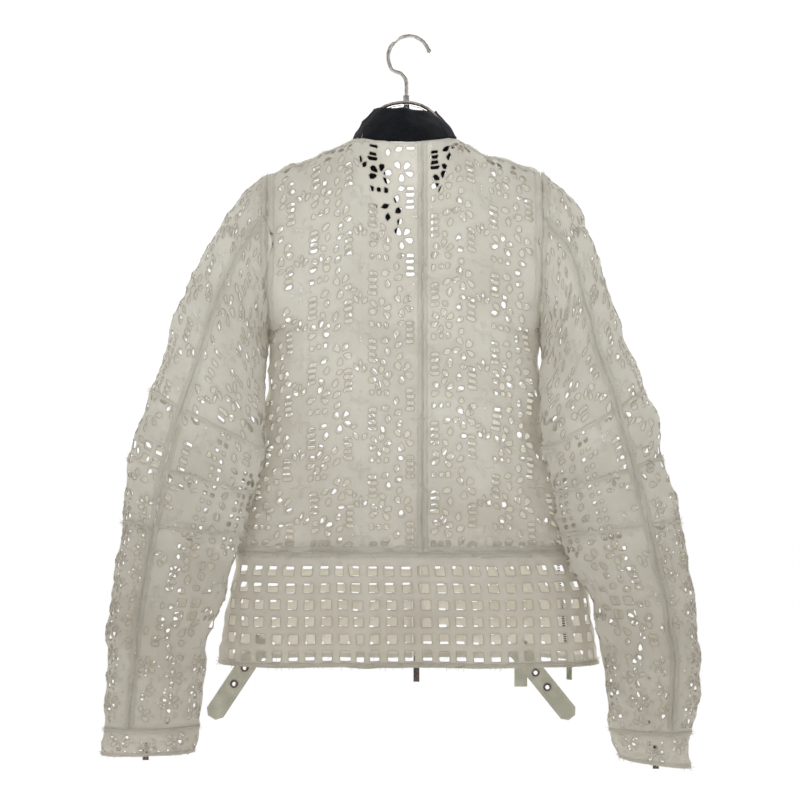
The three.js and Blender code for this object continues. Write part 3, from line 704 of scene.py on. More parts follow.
class Seam:
    """A line along a piece of cloth, from one (u, v) to another, as points a few millimetres apart."""

    def __init__(self, cloth, start, end):
        rough = cloth.place(*np.linspace(start, end, 30).T)
        count = max(4, int(np.linalg.norm(np.diff(rough, axis=0), axis=1).sum() / SEAM_STEP))
        share = np.linspace(0, 1, count)
        u, v = lerp(start[0], end[0], share), lerp(start[1], end[1], share)
        self.points, self.normals = cloth.lie(u, v)
        self.along = unit(np.gradient(self.points, axis=0))
        self.across = np.cross(self.normals, self.along)
        self.length = float(np.linalg.norm(np.diff(self.points, axis=0), axis=1).sum())

    def tape(self, name, width, material, rng):
        """A strip of cloth sewn down along the seam, with uneven edges that are turned under."""
        points, faces = [], []
        for k, (p, n, a) in enumerate(zip(self.points, self.normals, self.across)):
            low_edge, high_edge = (sign * width / 2 + rng.uniform(-0.7, 0.5) for sign in (-1, 1))
            section = (
                (low_edge, -TAPE_LIFT), (low_edge, TAPE_LIFT), (0.0, TAPE_LIFT + TAPE_CROWN),
                (high_edge, TAPE_LIFT), (high_edge, -TAPE_LIFT),
            )
            points += [p + a * offset + n * height for offset, height in section]
            if k:
                b = k * 5
                faces += [(b - 5 + i, b - 4 + i, b + 1 + i, b + i) for i in range(4)]
        return new_object(name, points, faces, material)

    def fray(self, strands, per_metre, rng, spread):
        """Loose threads that stand from the seam, each joined to it at its foot."""
        for _ in range(int(self.length * MM * per_metre)):
            k = rng.randrange(len(self.points))
            side = rng.uniform(-1, 1)
            foot = self.points[k] + self.across[k] * side * spread - self.normals[k] * 0.25
            foot = foot + self.along[k] * rng.uniform(-2, 2)
            ahead = unit(self.normals[k] * 0.8 * rng.uniform(0.2, 1.3) + self.across[k] * rng.gauss(side, 0.6)
                         + self.along[k] * rng.gauss(0, 0.5) + np.array([0, 0, -0.15]))
            curl = unit(np.array([rng.gauss(0, 1) for _ in range(3)]))
            long = rng.uniform(*FRAY_LENGTHS)
            path = [foot + ahead * long * t + curl * long * 0.35 * t * t for t in (0, 0.35, 0.7, 1)]
            strands.tube(path, FRAY_RADIUS * rng.uniform(0.7, 1.3))

    def stitch(self, strands, shift):
        """A row of straight stitches, shift millimetres beside the seam."""
        run = np.concatenate([[0], np.cumsum(np.linalg.norm(np.diff(self.points, axis=0), axis=1))])
        for place in np.arange(STITCH_PITCH, run[-1] - STITCH_PITCH, STITCH_PITCH):
            p, n, a, c = (np.array([np.interp(place, run, rows[:, k]) for k in range(3)])
                          for rows in (self.points, self.normals, self.along, self.across))
            strands.block(p + c * shift + n * STITCH_LIFT, a, c, n, (STITCH_PITCH * 0.62, 0.42, 0.36))


# Materials
def linear(code):
    """An sRGB hex colour, such as 0xD3CFC0, as linear red, green, blue and alpha."""
    out = []
    for shift in (16, 8, 0):
        c = ((code >> shift) & 255) / 255
        out.append(c / 12.92 if c <= 0.04045 else ((c + 0.055) / 1.055) ** 2.4)
    return (*out, 1.0)


def add_node(tree, kind, settings=None, inputs=None):
    """Adds a node, sets its properties, and sets or links its inputs."""
    node = tree.nodes.new(kind)
    for key, value in (settings or {}).items():
        setattr(node, key, value)
    for key, value in (inputs or {}).items():
        if isinstance(value, bpy.types.NodeSocket):
            tree.links.new(value, node.inputs[key])
        else:
            node.inputs[key].default_value = value
    return node


def new_material(name):
    material = bpy.data.materials.new(name)
    material.use_nodes = True
    tree = material.node_tree
    tree.nodes.clear()
    return material, tree


def ramp(tree, factor, stops):
    node = add_node(tree, "ShaderNodeValToRGB", None, {"Fac": factor})
    elements = node.color_ramp.elements
    while len(elements) < len(stops):
        elements.new(0.5)
    for element, (position, code) in zip(elements, stops):
        element.position = position
        element.color = linear(code)
    return node.outputs["Color"]


# Painted shade, darker towards the bottom: the colour that the cotton is multiplied with at its lower end,
# and the heights in metres between which that sets in
PAINTED_SHADE_TINT = 0xEBE9E5
PAINTED_SHADE_FROM_Z = -0.4
PAINTED_SHADE_TO_Z = -0.66


def washed_cotton(name, light, shade, edge, see_through):
    """Cotton poplin, laser cut and washed: matt, a little uneven in colour, with painted shade that greys it
    towards the hem and the cuffs, slightly darker and fuzzier where it is cut, and thin enough that light
    and what is behind show through."""
    material, tree = new_material(name)
    place = add_node(tree, "ShaderNodeTexCoord")
    blotch = add_node(tree, "ShaderNodeTexNoise", None, {
        "Vector": place.outputs["Object"], "Scale": 14.0, "Detail": 4.0})
    height = add_node(tree, "ShaderNodeSeparateXYZ", None, {0: place.outputs["Object"]})
    # Painted shade: the colour is multiplied with a grey tint below a given height, darker towards the bottom
    colour = add_node(tree, "ShaderNodeMix", {"data_type": "RGBA", "blend_type": "MULTIPLY"}, {
        "Factor": add_node(tree, "ShaderNodeMapRange", None, {
            "Value": height.outputs["Z"], "From Min": PAINTED_SHADE_FROM_Z, "From Max": PAINTED_SHADE_TO_Z,
            "To Min": 0.0, "To Max": 1.0}).outputs["Result"],
        "A": ramp(tree, blotch.outputs["Fac"], [(0.3, shade), (0.7, light)]), "B": linear(PAINTED_SHADE_TINT)})
    at_edge = add_node(tree, "ShaderNodeAttribute", {"attribute_name": "cut_edge"})
    tinted = add_node(tree, "ShaderNodeMix", {"data_type": "RGBA"}, {
        "Factor": add_node(tree, "ShaderNodeMath", {"operation": "MULTIPLY"}, {
            0: at_edge.outputs["Fac"], 1: 0.55}).outputs[0],
        "A": colour.outputs["Result"], "B": linear(edge)})
    thread = 0.0016  # 0.4 mm threads, drawn four times as coarse so that they show
    weave = add_node(tree, "ShaderNodeTexNoise", None, {
        "Vector": place.outputs["Object"], "Scale": 1 / thread, "Detail": 2.0})
    pucker = add_node(tree, "ShaderNodeTexNoise", None, {
        "Vector": place.outputs["Object"], "Scale": 140.0, "Detail": 3.0})
    fine = add_node(tree, "ShaderNodeBump", None, {
        "Strength": 0.35, "Distance": 0.0004, "Height": weave.outputs["Fac"]})
    bump = add_node(tree, "ShaderNodeBump", None, {
        "Strength": 0.55, "Distance": 0.0016, "Height": pucker.outputs["Fac"],
        "Normal": fine.outputs["Normal"]})
    cloth = add_node(tree, "ShaderNodeBsdfPrincipled", None, {
        "Base Color": tinted.outputs["Result"], "Roughness": 0.86, "Specular IOR Level": 0.25,
        "Sheen Weight": 0.12, "Sheen Roughness": 0.5, "Alpha": 1 - see_through,
        "Normal": bump.outputs["Normal"]})
    glow = add_node(tree, "ShaderNodeBsdfTranslucent", None, {
        "Color": tinted.outputs["Result"], "Normal": bump.outputs["Normal"]})
    both = add_node(tree, "ShaderNodeMixShader", None, {
        0: 0.42, 1: cloth.outputs["BSDF"], 2: glow.outputs["BSDF"]})
    add_node(tree, "ShaderNodeOutputMaterial", None, {"Surface": both.outputs["Shader"]})
    return material


def knitted_wool(name):
    """Fine knitted wool rib in near-black navy: soft and matt, with rows that catch a little light."""
    material, tree = new_material(name)
    place = add_node(tree, "ShaderNodeTexCoord")
    rib = add_node(tree, "ShaderNodeTexWave", {"bands_direction": "X"}, {
        "Vector": add_node(tree, "ShaderNodeUVMap", {"uv_map": "Cloth"}).outputs["UV"],
        "Scale": 160.0, "Distortion": 1.2, "Detail": 1.0})
    fluff = add_node(tree, "ShaderNodeTexNoise", None, {
        "Vector": place.outputs["Object"], "Scale": 420.0, "Detail": 3.0})
    colour = ramp(tree, fluff.outputs["Fac"], [(0.3, 0x08090C), (0.75, 0x14171D)])
    low_bump = add_node(tree, "ShaderNodeBump", None, {
        "Strength": 0.35, "Distance": 0.0008, "Height": rib.outputs["Fac"]})
    bump = add_node(tree, "ShaderNodeBump", None, {
        "Strength": 0.5, "Distance": 0.0008, "Height": fluff.outputs["Fac"],
        "Normal": low_bump.outputs["Normal"]})
    shader = add_node(tree, "ShaderNodeBsdfPrincipled", None, {
        "Base Color": colour, "Roughness": 0.92, "Specular IOR Level": 0.12, "Sheen Weight": 0.06,
        "Sheen Roughness": 0.6, "Normal": bump.outputs["Normal"]})
    add_node(tree, "ShaderNodeOutputMaterial", None, {"Surface": shader.outputs["BSDF"]})
    return material


def coated_leather(name):
    """Smooth off-white leather, finished with a thin coat: satin, with a fine pebbled grain."""
    material, tree = new_material(name)
    place = add_node(tree, "ShaderNodeTexCoord")
    grain = add_node(tree, "ShaderNodeTexVoronoi", None, {"Vector": place.outputs["Object"], "Scale": 900.0})
    stain = add_node(tree, "ShaderNodeTexNoise", None, {
        "Vector": place.outputs["Object"], "Scale": 60.0, "Detail": 4.0})
    colour = ramp(tree, stain.outputs["Fac"], [(0.35, 0xA3A190), (0.7, 0xB9B7A8)])
    rough = add_node(tree, "ShaderNodeMapRange", None, {
        "Value": stain.outputs["Fac"], "To Min": 0.38, "To Max": 0.6})
    bump = add_node(tree, "ShaderNodeBump", None, {
        "Strength": 0.25, "Distance": 0.0004, "Height": grain.outputs["Distance"]})
    shader = add_node(tree, "ShaderNodeBsdfPrincipled", None, {
        "Base Color": colour, "Roughness": rough.outputs["Result"], "Normal": bump.outputs["Normal"]})
    add_node(tree, "ShaderNodeOutputMaterial", None, {"Surface": shader.outputs["BSDF"]})
    return material


def worked_metal(name, dark, light, roughness, scale=260.0):
    """Metal that was drawn or cast, then polished or given an antique finish, with small marks."""
    material, tree = new_material(name)
    place = add_node(tree, "ShaderNodeTexCoord")
    marks = add_node(tree, "ShaderNodeTexNoise", None, {
        "Vector": place.outputs["Object"], "Scale": scale, "Detail": 5.0})
    colour = ramp(tree, marks.outputs["Fac"], [(0.3, dark), (0.7, light)])
    rough = add_node(tree, "ShaderNodeMapRange", None, {
        "Value": marks.outputs["Fac"], "To Min": roughness * 0.7, "To Max": roughness * 1.4})
    bump = add_node(tree, "ShaderNodeBump", None, {
        "Strength": 0.12, "Distance": 0.0003, "Height": marks.outputs["Fac"]})
    shader = add_node(tree, "ShaderNodeBsdfPrincipled", None, {
        "Base Color": colour, "Metallic": 1.0, "Roughness": rough.outputs["Result"],
        "Normal": bump.outputs["Normal"]})
    add_node(tree, "ShaderNodeOutputMaterial", None, {"Surface": shader.outputs["BSDF"]})
    return material


def plain_floor(name, code):
    """Matt painted board."""
    material, tree = new_material(name)
    shader = add_node(tree, "ShaderNodeBsdfPrincipled", None, {"Base Color": linear(code), "Roughness": 0.9})
    add_node(tree, "ShaderNodeOutputMaterial", None, {"Surface": shader.outputs["BSDF"]})
    return material


MATERIALS = {}


def material_of(name):
    """Each finish is made once, when a piece first asks for it."""
    makers = {
        "lace": lambda: washed_cotton("cut cotton poplin", 0xE9E7E0, 0xDEDBD2, 0xADA498, 0.15),
        "tape": lambda: washed_cotton("cotton seam tape", 0xEDEBE3, 0xE2DFD6, 0xC0BAAC, 0.1),
        "thread": lambda: washed_cotton("cotton thread", 0xECEAE0, 0xE2DFD4, 0xD0CBBC, 0.0),
        "collar": lambda: knitted_wool("knitted wool rib"),
        "leather": lambda: coated_leather("coated off-white leather"),
        "steel": lambda: worked_metal("polished steel wire", 0x8C8680, 0xC8C4C0, 0.16),
        "bronze": lambda: worked_metal("antique bronze", 0x4A403D, 0x6E625E, 0.42),
        "olive": lambda: worked_metal("dulled olive bronze", 0x74745E, 0x92927A, 0.45),
    }
    if name not in MATERIALS:
        MATERIALS[name] = makers[name]()
    return MATERIALS[name]


def declare_hung(piece, *nodes):
    """Hides the solids that stand for the same part as the piece."""
    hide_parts(*nodes)


class JacketSizes(bpy.types.PropertyGroup):
    cloth_thickness: FloatProperty(
        name="Cloth", description="Thickness of the cut cotton", default=CLOTH * MM, min=0.0003, unit="LENGTH"
    )
    crease_strength: FloatProperty(
        name="Creases", description="How crumpled the cloth is", default=1.0, min=0.0, subtype="FACTOR"
    )
    fringe_per_metre: IntProperty(
        name="Frayed threads", description="Loose threads for each metre of frayed seam", default=640, min=0
    )


class StageLook(bpy.types.PropertyGroup):
    floor_drop: FloatProperty(
        name="Floor", description="Distance from the hook down to the floor", default=1.35, unit="LENGTH"
    )
    front_light: FloatProperty(
        name="Front light", description="Light of the room on the camera's side", default=0.54, min=0.0
    )
    back_light: FloatProperty(
        name="Back light", description="Light of the wall behind the jacket", default=1.42, min=0.0
    )
    sky: FloatVectorProperty(
        name="Surround", description="Colour of the room round the jacket", subtype="COLOR",
        default=(1.0, 1.0, 1.0), min=0, max=1
    )


BODY_MIDDLE = np.array([CENTRE_X, 0, -400.0])
BAND_MIDDLE = np.array([CENTRE_X, 0, -650.0])
PANELS = (("back", -1, True), ("back", -1, False), ("front", 1, True), ("front", 1, False))
# Cloths by the node that they stand for, so that seams can be laid on them
CUT = {}


def clear_strip(cloth, armhole=0.0, middle=0.0):
    """Keeps holes away from the armhole and the middle seam, where the cloth is doubled."""
    def keep(u, v):
        z = cloth.place(u, v)[2]
        near_arm = u * cloth.width < armhole and z > UNDERARM_Z
        return not near_arm and (1 - u) * cloth.width > middle
    return keep


class JACKET_OT_body(bpy.types.Operator):
    """Cuts and hangs the two backs and the two fronts"""

    bl_idname = "jacket.body"
    bl_label = "Backs and fronts"

    def execute(self, context):
        for part, face, left in PANELS:
            node = f"{part}_{'left' if left else 'right'}"
            cloth = Cloth(panel_place(left, face), BODY_MIDDLE, s_zero=1.0)
            CUT[node] = cloth
            holes = repeat(body_tile(), TILE_WIDTH, TILE_HEIGHT, (-320, 320), (-20, 640), 0.25, seed=3 + face)
            sheet = [(s if left else -s, t, loop * [1 if left else -1, 1]) for s, t, loop in holes]
            keep = clear_strip(cloth, 16, 8 if face < 0 else 9)
            declare_hung(lay_cloth(f"{node}_lace", cloth, sheet, material_of("lace"), keep=keep), node)
        return {"FINISHED"}


SQUARE = 12.2
SQUARE_PITCH = 19.4
SQUARE_CORNER = 1.3
SQUARE_ROWS = 6
FIRST_ROW = 13.0
BAND_PARTS = (
    ("band_back", -1, None, None),
    ("band_front_left", 1, None, ZIP_X - ZIP_HALF_WIDTH),
    ("band_front_right", 1, ZIP_X + ZIP_HALF_WIDTH, None),
)


def square_holes(columns):
    """The rows of squares of the hem band, each a little uneven, with the middle column at s = 0."""
    out = []
    rng = random.Random(8)
    for row in range(SQUARE_ROWS):
        for column in range(columns):
            s = (column - (columns - 1) / 2) * SQUARE_PITCH
            t = FIRST_ROW + row * SQUARE_PITCH
            loop = soft_box(SQUARE * rng.uniform(0.95, 1.03), SQUARE * rng.uniform(0.95, 1.03), SQUARE_CORNER)
            out.append((s + rng.uniform(-0.5, 0.5), t + rng.uniform(-0.5, 0.5), loop))
    return out


class JACKET_OT_band(bpy.types.Operator):
    """Cuts and hangs the hem band with its rows of squares"""

    bl_idname = "jacket.band"
    bl_label = "Hem band"

    def execute(self, context):
        for node, face, start, end in BAND_PARTS:
            cloth = Cloth(band_place(face, start, end), BAND_MIDDLE, cells=(160, 24))
            CUT[node] = cloth
            holes = square_holes(int((cloth.width - 8) / SQUARE_PITCH))
            piece = lay_cloth(f"{node}_lace", cloth, holes, material_of("lace"), step=6.5, margin=1.2)
            declare_hung(piece, node)
        return {"FINISHED"}


# Rows of squares that run along the upper sleeve, and the larger squares at the elbow:
# s and t of the middle, columns, rows, pitch and side
SLEEVE_GRIDS = [
    (-46, 205, 2, 12, 8.4, 5.2), (-6, 225, 2, 11, 8.4, 5.2), (38, 250, 2, 10, 8.4, 5.2),
    (62, 345, 2, 2, 15.5, 10.5), (22, 352, 2, 2, 15.5, 10.5), (-30, 340, 2, 2, 15.5, 10.5),
]

SLEEVE_SPLIT = 385.0


def sleeve_holes():
    """Leaves and ladders above, rows of squares at the upper arm, and flowers below the elbow."""
    holes = []
    for s, t, columns, rows, pitch, side in SLEEVE_GRIDS:
        for i in range(columns):
            for j in range(rows):
                at = (s + (i - (columns - 1) / 2) * pitch, t + (j - (rows - 1) / 2) * pitch)
                holes.append((*at, soft_box(side, side, 1.2)))
    holes += [h for h in repeat(body_tile(), TILE_WIDTH, TILE_HEIGHT, (-170, 170), (0, 400), 0.25, seed=11)
              if h[1] < SLEEVE_SPLIT]
    lower = repeat(eyelet_tile(), EYELET_WIDTH, EYELET_HEIGHT, (-170, 170), (300, 700), 0.5, seed=12)
    return holes + [h for h in lower if h[1] > SLEEVE_SPLIT + 8]


def ring_middle(side, t):
    return ring_point(side, np.array([0, math.pi]), np.array([t, t])).mean(0)


class JACKET_OT_sleeves(bpy.types.Operator):
    """Cuts and hangs the two-piece sleeves and their cuffs"""

    bl_idname = "jacket.sleeves"
    bl_label = "Sleeves"

    def execute(self, context):
        turn = 2 * math.pi
        for side in ("left", "right"):
            spans = (
                ("top", FRONT_SLEEVE_SEAM + SLEEVE_SEAM_GAP, BACK_SLEEVE_SEAM - SLEEVE_SEAM_GAP),
                ("under", BACK_SLEEVE_SEAM + SLEEVE_SEAM_GAP, FRONT_SLEEVE_SEAM + turn - SLEEVE_SEAM_GAP),
            )
            for part, start, end in spans:
                node = f"sleeve_{side}_{part}"
                cloth = Cloth(sleeve_place(side, start, end), ring_middle(side, SLEEVE_END / 2))
                CUT[node] = cloth
                keep = lambda u, v, cloth=cloth: v * cloth.length > 12
                piece = lay_cloth(f"{node}_lace", cloth, sleeve_holes(), material_of("lace"), keep=keep)
                declare_hung(piece, node)
            edge = -math.pi / 2
            place = sleeve_place(side, edge + SLEEVE_SEAM_GAP, edge + turn - SLEEVE_SEAM_GAP,
                                 SLEEVE_END + 0.012, CUFF_END)
            cloth = Cloth(place, ring_middle(side, 14.5), cells=(120, 12))
            CUT[f"cuff_{side}"] = cloth
            holes = repeat(eyelet_tile(), EYELET_WIDTH, EYELET_HEIGHT, (-170, 170), (0, 60), 0.5, seed=14)
            declare_hung(lay_cloth(f"cuff_{side}_lace", cloth, holes, material_of("lace")), f"cuff_{side}")
        return {"FINISHED"}


def seam_rows():
    """Each seam: its name, cloth, start and end in (u, v), the width of its tape, and how frayed it is."""
    for part, face, left in PANELS:
        side = "left" if left else "right"
        node = f"{part}_{side}"
        cloth = CUT[node]
        arm = 9 / cloth.width
        under = (UNDERARM_Z - HEM_SEAM_Z) / (ARMHOLE_TOP_Z - HEM_SEAM_Z)
        yield node + "_armhole", cloth, (arm / 2, under), (arm / 2, 0.995), 8.0, 0.9
        yield node + "_shoulder", cloth, (0.02, 0.992), (0.62, 0.992), 6.0, 0.9
        yield node + "_seat", cloth, (0.01, 0.008), (0.99, 0.008), 5.0, 0.45
        if face < 0:
            middle = 1 - 3 / cloth.width
            yield node + "_middle", cloth, (middle, 0.004), (middle, 0.996), 5.6, 0.35
    for node, *_ in BAND_PARTS:
        cloth = CUT[node]
        yield node + "_top", cloth, (0.005, 0.975), (0.995, 0.975), 5.4, 0.9
        yield node + "_hem", cloth, (0.003, 0.022), (0.997, 0.022), 5.0, 0.9
    for side in ("left", "right"):
        top, under = CUT[f"sleeve_{side}_top"], CUT[f"sleeve_{side}_under"]
        yield f"sleeve_{side}_back_seam", top, (0.985, 0.01), (0.985, 0.995), 5.0, 1.0
        yield f"sleeve_{side}_under_seam", under, (0.02, 0.01), (0.02, 0.995), 4.0, 0.5
        for number, (a, b) in enumerate(((0.455, 0.40), (0.56, 0.52), (0.66, 0.63))):
            yield f"sleeve_{side}_cross_{number}", top, (0.02, a + 0.02), (0.98, a), 4.4, 1.5
            yield f"sleeve_{side}_cross_under_{number}", under, (0.02, a), (0.98, b), 4.4, 1.2
        yield f"sleeve_{side}_cap", top, (0.01, 0.012), (0.99, 0.012), 7.0, 1.3
        yield f"sleeve_{side}_under_cap", under, (0.01, 0.012), (0.99, 0.012), 7.0, 0.8
        cuff = CUT[f"cuff_{side}"]
        yield f"cuff_{side}_top", cuff, (0.004, 0.06), (0.996, 0.06), 4.0, 0.6
        yield f"cuff_{side}_edge", cuff, (0.004, 0.93), (0.996, 0.93), 4.0, 0.6


class JACKET_OT_seams(bpy.types.Operator):
    """Sews the seams: doubled strips, rows of stitches and frayed threads"""

    bl_idname = "jacket.seams"
    bl_label = "Seams and frayed threads"

    def execute(self, context):
        rng = random.Random(21)
        per_metre = context.scene.jacket_sizes.fringe_per_metre
        frayed, stitches = Strands(), Strands()
        for name, cloth, start, end, width, wear in seam_rows():
            seam = Seam(cloth, start, end)
            tape = seam.tape(f"{name}_tape", width, material_of("tape"), rng)
            for sign in (-1, 1):
                seam.stitch(stitches, sign * (width / 2 - STITCH_INSET))
            seam.fray(frayed, per_metre * wear, rng, width / 2)
        for strands, name in ((frayed, "frayed_threads"), (stitches, "stitches")):
            strands.make(name, material_of("thread"), smooth=False)
        return {"FINISHED"}


# Upper edge of the collar: share of the way round, then how far in, forward and up
RISE = [
    (0.0, 0.4, 8, 40.5), (0.3, 0.4, 6, 35.5), (0.5, 0.39, 2, 31.5), (0.7, 0.4, -7, 29), (1.0, 0.3, -20, 28),
]
COLLAR_BULGE = 2.5
COLLAR_THICKNESS = 2.2


def collar_place(u, v):
    """The collar's outer face: u runs from the left front edge round the back to the right one."""
    u, v = np.asarray(u, float), np.asarray(v, float)
    way = u * 2 - 1
    share = np.abs(way)
    sign = np.where(way < 0, -1.0, 1.0)
    columns = np.array(RISE)
    inward, forward, up = (np.interp(share, columns[:, 0], columns[:, k]) for k in (1, 2, 3))
    back = share < 0.5
    end = np.where(back, CENTRE_X, ZIP_X + sign * NECK_GAP_HALF_WIDTH)
    turn = np.sin(math.pi * share)
    x = lerp(end, CENTRE_X + sign * NECK_HALF_WIDTH, turn)
    seam_back, seam_front = body_point(x, neck_z(x, -1), -1), body_point(x, neck_z(x, 1), 1)
    seam = np.where(back[..., None], seam_back, seam_front)
    sx = seam[..., 0] - sign * 1.4 * turn
    sz = seam[..., 2] + np.where(back, 0.6, 2.1)
    bulge = COLLAR_BULGE * np.sin(math.pi * v)
    sy = seam[..., 1] + forward * v + np.where(back, -1, 1) * bulge * (1 - turn)
    return np.stack([sx - (sx - CENTRE_X) * inward * v + sign * bulge * turn, sy, sz + v * up], -1)


class JACKET_OT_collar(bpy.types.Operator):
    """Knits the dark collar band"""

    bl_idname = "jacket.collar"
    bl_label = "Collar"

    def execute(self, context):
        cloth = Cloth(collar_place, np.array([CENTRE_X, 0, -110.0]), cells=(160, 20))
        knit = material_of("collar")
        piece = lay_cloth("collar_knit", cloth, [], knit, step=4.0, thickness=COLLAR_THICKNESS)
        declare_hung(piece, "collar")
        return {"FINISHED"}


FINISHES = {
    "steel": (
        "hanger_hook", "hanger_boss", "hanger_bar", "hanger_nut", "hanger_arm_left", "hanger_arm_right",
    ),
    "leather": ("strap_left", "strap_right", "strap_tab"),
    "bronze": (
        "eyelet_left_1", "eyelet_left_2", "eyelet_right_1", "eyelet_right_2",
        "slider_front", "slider_cuff_left", "slider_cuff_right",
        "pull_front", "pull_cuff_left", "pull_cuff_right",
    ),
    "olive": ("slider_side", "pull_side"),
    "tape": ("zip_tape_left", "zip_tape_right"),
}


# The bend of the hook: its radius, the height of its middle, and the angle of its cut end
HOOK_RADIUS = 24
HOOK_Z = -21.6
HOOK_END = math.radians(17)
BALL_RADIUS = 3.1
# Teeth: distance from one to the next, and their sizes along, across and out
TOOTH_PITCH = 2.6
FRONT_TOOTH = (1.35, 2.6, 1.9)
SMALL_TOOTH = (1.35, 3.4, 1.2)
STRAP_STITCH = (2.2, 0.5, 0.4)
STRAP_STITCH_SHIFT = 8.6
STRAP_STITCH_PITCH = 3.4


class JACKET_OT_hardware(bpy.types.Operator):
    """Finishes the hanger, the straps, the eyelets and the zips"""

    bl_idname = "jacket.hardware"
    bl_label = "Hanger, straps and zips"

    def execute(self, context):
        for finish, nodes in FINISHES.items():
            for node in nodes:
                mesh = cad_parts[node].data
                mesh.materials.clear()
                mesh.materials.append(material_of(finish))
        self.hook_end()
        self.teeth()
        self.strap_stitches()
        return {"FINISHED"}

    def hook_end(self):
        """A small ball closes the cut end of the hook."""
        centre = (HOOK_RADIUS * math.cos(HOOK_END), 0, HOOK_Z + HOOK_RADIUS * math.sin(HOOK_END))
        bm = bmesh.new()
        bmesh.ops.create_icosphere(bm, subdivisions=3, radius=BALL_RADIUS * MM)
        bmesh.ops.translate(bm, verts=bm.verts, vec=Vector(centre) * MM)
        points = [v.co / MM for v in bm.verts]
        faces = [[v.index for v in face.verts] for face in bm.faces]
        bm.free()
        new_object("hook_ball", points, faces, material_of("steel"))

    def teeth(self):
        """Zip teeth: up the centre front, in the side of the band and in the cuffs."""
        strands = Strands()
        up = np.array([0.0, 0.0, 1.0])
        for sign in (-1, 1):
            for z in np.arange(HEM_Z + 6, FRONT_NECK_Z - 6, TOOTH_PITCH):
                gap = float(front_gap(z))
                x = ZIP_X + sign * (gap - 4.2 if gap > ZIP_HALF_WIDTH + 0.5 else 0.75)
                p = body_point(x, z + (TOOTH_PITCH / 2 if sign > 0 else 0), 1) + np.array([0, 0.5, 0])
                strands.block(p, up, (1, 0, 0), (0, 1, 0), FRONT_TOOTH)
        for z in np.arange(HEM_Z + 13, HEM_SEAM_Z - 8, TOOTH_PITCH):
            x = lerp(184.6, 172.0, (z - HEM_Z) / (HEM_SEAM_Z - HEM_Z))
            n = unit(np.array([0.66, 0.75, 0]))
            p = body_point(x, z, 1) + n * 0.6
            strands.block(p, up, np.cross(n, up), n, SMALL_TOOTH)
        for side in ("left", "right"):
            run = ring_point(side, -math.pi / 2, np.linspace(12.6, 14.6, 44))
            for p in run:
                strands.block(p + np.array([0, 0.7, 0]), up, (1, 0, 0), (0, 1, 0), SMALL_TOOTH)
        strands.make("zip_teeth", material_of("bronze"), smooth=False)

    def strap_stitches(self):
        """A row of stitches along both edges of each strap."""
        strands = Strands()
        for side in ("left", "right"):
            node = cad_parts[f"strap_{side}"]
            points = np.array([v.co for v in node.data.vertices]) / MM
            eyes = [np.array(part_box(f"eyelet_{side}_{k}")).mean(0) / MM for k in (1, 2)]
            along = unit(eyes[1] - eyes[0])
            facing = [(polygon.area, polygon) for polygon in node.data.polygons if polygon.normal.y < -0.6]
            normal = unit(sum(area * np.array(polygon.normal) for area, polygon in facing))
            across = unit(np.cross(normal, along))
            face_at = max((points - eyes[0]) @ normal)
            run = (points - eyes[0]) @ along
            for shift in (-STRAP_STITCH_SHIFT, STRAP_STITCH_SHIFT):
                for t in np.arange(run.min() + 6, run.max() - 9, STRAP_STITCH_PITCH):
                    p = eyes[0] + along * t + across * shift + normal * (face_at + 0.02)
                    strands.block(p, along, across, normal, STRAP_STITCH)
        strands.make("strap_stitches", material_of("thread"), smooth=False)


# Where the camera stands, level and square to the jacket's back
CAMERA_PLACE = (-0.01035, -2.556, -0.4163)
# Strength of the plain room that the camera sees behind the jacket
SEEN_ROOM = 1.06
# Each lamp: its name, place in metres, power in watts and size in metres. All face LAMPS_FACE.
LAMPS = (
    ("key", (-0.9, -1.9, 1.5), 10, 0.9),
    ("fill", (1.6, -1.6, 0.2), 2, 1.4),
    ("behind", (0.1, 1.9, 0.1), 48, 1.8),
)
LAMPS_FACE = (0, 0, -0.4)
FLOOR_HALF = 30.0


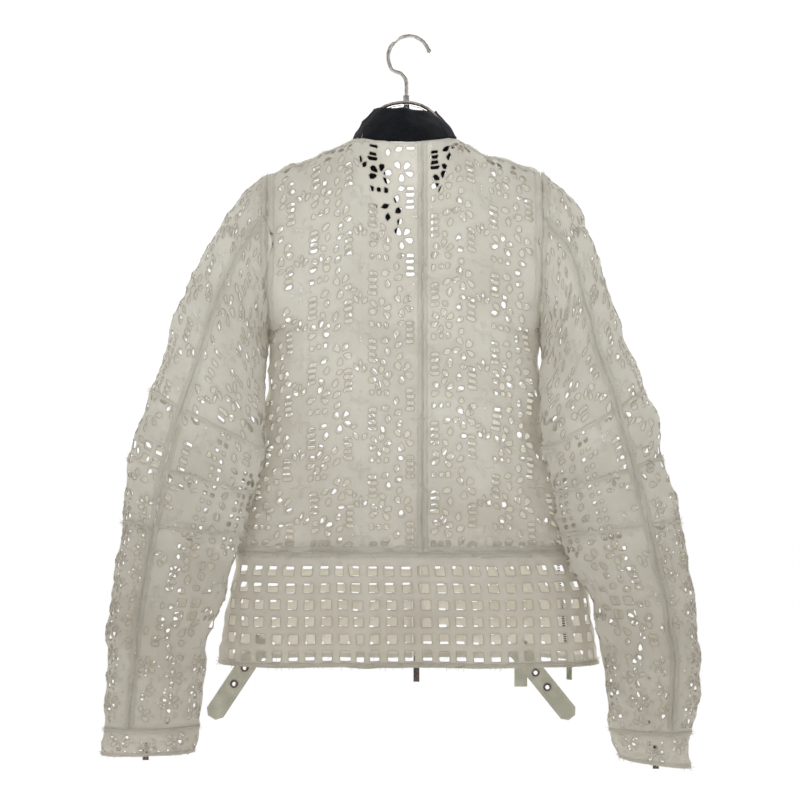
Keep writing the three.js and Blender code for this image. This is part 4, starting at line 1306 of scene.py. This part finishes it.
class JACKET_OT_stage(bpy.types.Operator):
    """Sets the camera, the lights and the floor"""

    bl_idname = "jacket.stage"
    bl_label = "Camera, lights and floor"

    def execute(self, context):
        scene = context.scene
        look = scene.jacket_stage
        camera = bpy.data.objects.new("camera", bpy.data.cameras.new("camera"))
        camera.location = CAMERA_PLACE
        camera.rotation_euler = (math.radians(90), 0, 0)
        camera.data.lens = 100
        camera.data.sensor_width = 36
        scene.collection.objects.link(camera)
        scene.camera = camera
        world = bpy.data.worlds.new("room")
        world.use_nodes = True
        tree = world.node_tree
        tree.nodes.clear()
        # The jacket is lit more from behind, by the pale wall that the camera sees as plain white
        toward = add_node(tree, "ShaderNodeSeparateXYZ", None, {
            0: add_node(tree, "ShaderNodeTexCoord").outputs["Generated"]})
        strength = add_node(tree, "ShaderNodeMapRange", None, {
            "Value": toward.outputs["Y"], "From Min": -0.7, "From Max": 0.7, "To Min": look.front_light,
            "To Max": look.back_light})
        seen = add_node(tree, "ShaderNodeMix", None, {
            0: add_node(tree, "ShaderNodeLightPath").outputs["Is Camera Ray"],
            2: strength.outputs["Result"], 3: SEEN_ROOM})
        ground = add_node(tree, "ShaderNodeBackground", None, {
            "Color": (*look.sky, 1), "Strength": seen.outputs[0]})
        add_node(tree, "ShaderNodeOutputWorld", None, {"Surface": ground.outputs["Background"]})
        scene.world = world
        scene.view_settings.view_transform = "Standard"
        for name, place, power, size in LAMPS:
            lamp = bpy.data.lights.new(name, "AREA")
            lamp.energy, lamp.size = power, size
            light = bpy.data.objects.new(name, lamp)
            light.location = place
            toward_jacket = Vector(LAMPS_FACE) - Vector(place)
            light.rotation_euler = toward_jacket.to_track_quat("-Z", "Y").to_euler()
            scene.collection.objects.link(light)
        mesh = bpy.data.meshes.new("floor")
        corners = [(i * FLOOR_HALF, j * FLOOR_HALF) for i, j in ((-1, -1), (1, -1), (1, 1), (-1, 1))]
        mesh.from_pydata([(x, y, -look.floor_drop) for x, y in corners], [], [(0, 1, 2, 3)])
        mesh.materials.append(plain_floor("pale floor", 0xFFFFFF))
        floor = bpy.data.objects.new("floor", mesh)
        scene.collection.objects.link(floor)
        return {"FINISHED"}


class JACKET_PT_panel(bpy.types.Panel):
    """Sizes and pieces of the jacket"""

    bl_idname = "JACKET_PT_panel"
    bl_label = "Lace jacket"
    bl_space_type = "VIEW_3D"
    bl_region_type = "UI"
    bl_category = "Jacket"

    def draw(self, context):
        for settings in (context.scene.jacket_sizes, context.scene.jacket_stage):
            for name in settings.bl_rna.properties.keys():
                if name not in ("name", "rna_type"):
                    self.layout.prop(settings, name)
        for operator in OPERATORS:
            self.layout.operator(operator.bl_idname)


OPERATORS = (
    JACKET_OT_body,
    JACKET_OT_band,
    JACKET_OT_sleeves,
    JACKET_OT_seams,
    JACKET_OT_collar,
    JACKET_OT_hardware,
    JACKET_OT_stage,
)
CLASSES = (JacketSizes, StageLook, *OPERATORS, JACKET_PT_panel)


def register():
    for kind in CLASSES:
        bpy.utils.register_class(kind)
    bpy.types.Scene.jacket_sizes = PointerProperty(type=JacketSizes)
    bpy.types.Scene.jacket_stage = PointerProperty(type=StageLook)


def unregister():
    del bpy.types.Scene.jacket_stage
    del bpy.types.Scene.jacket_sizes
    for kind in reversed(CLASSES):
        bpy.utils.unregister_class(kind)


def main():
    register()
    bpy.ops.jacket.body()
    bpy.ops.jacket.band()
    bpy.ops.jacket.sleeves()
    bpy.ops.jacket.seams()
    bpy.ops.jacket.collar()
    bpy.ops.jacket.hardware()
    bpy.ops.jacket.stage()


if __name__ == "__main__":
    main()
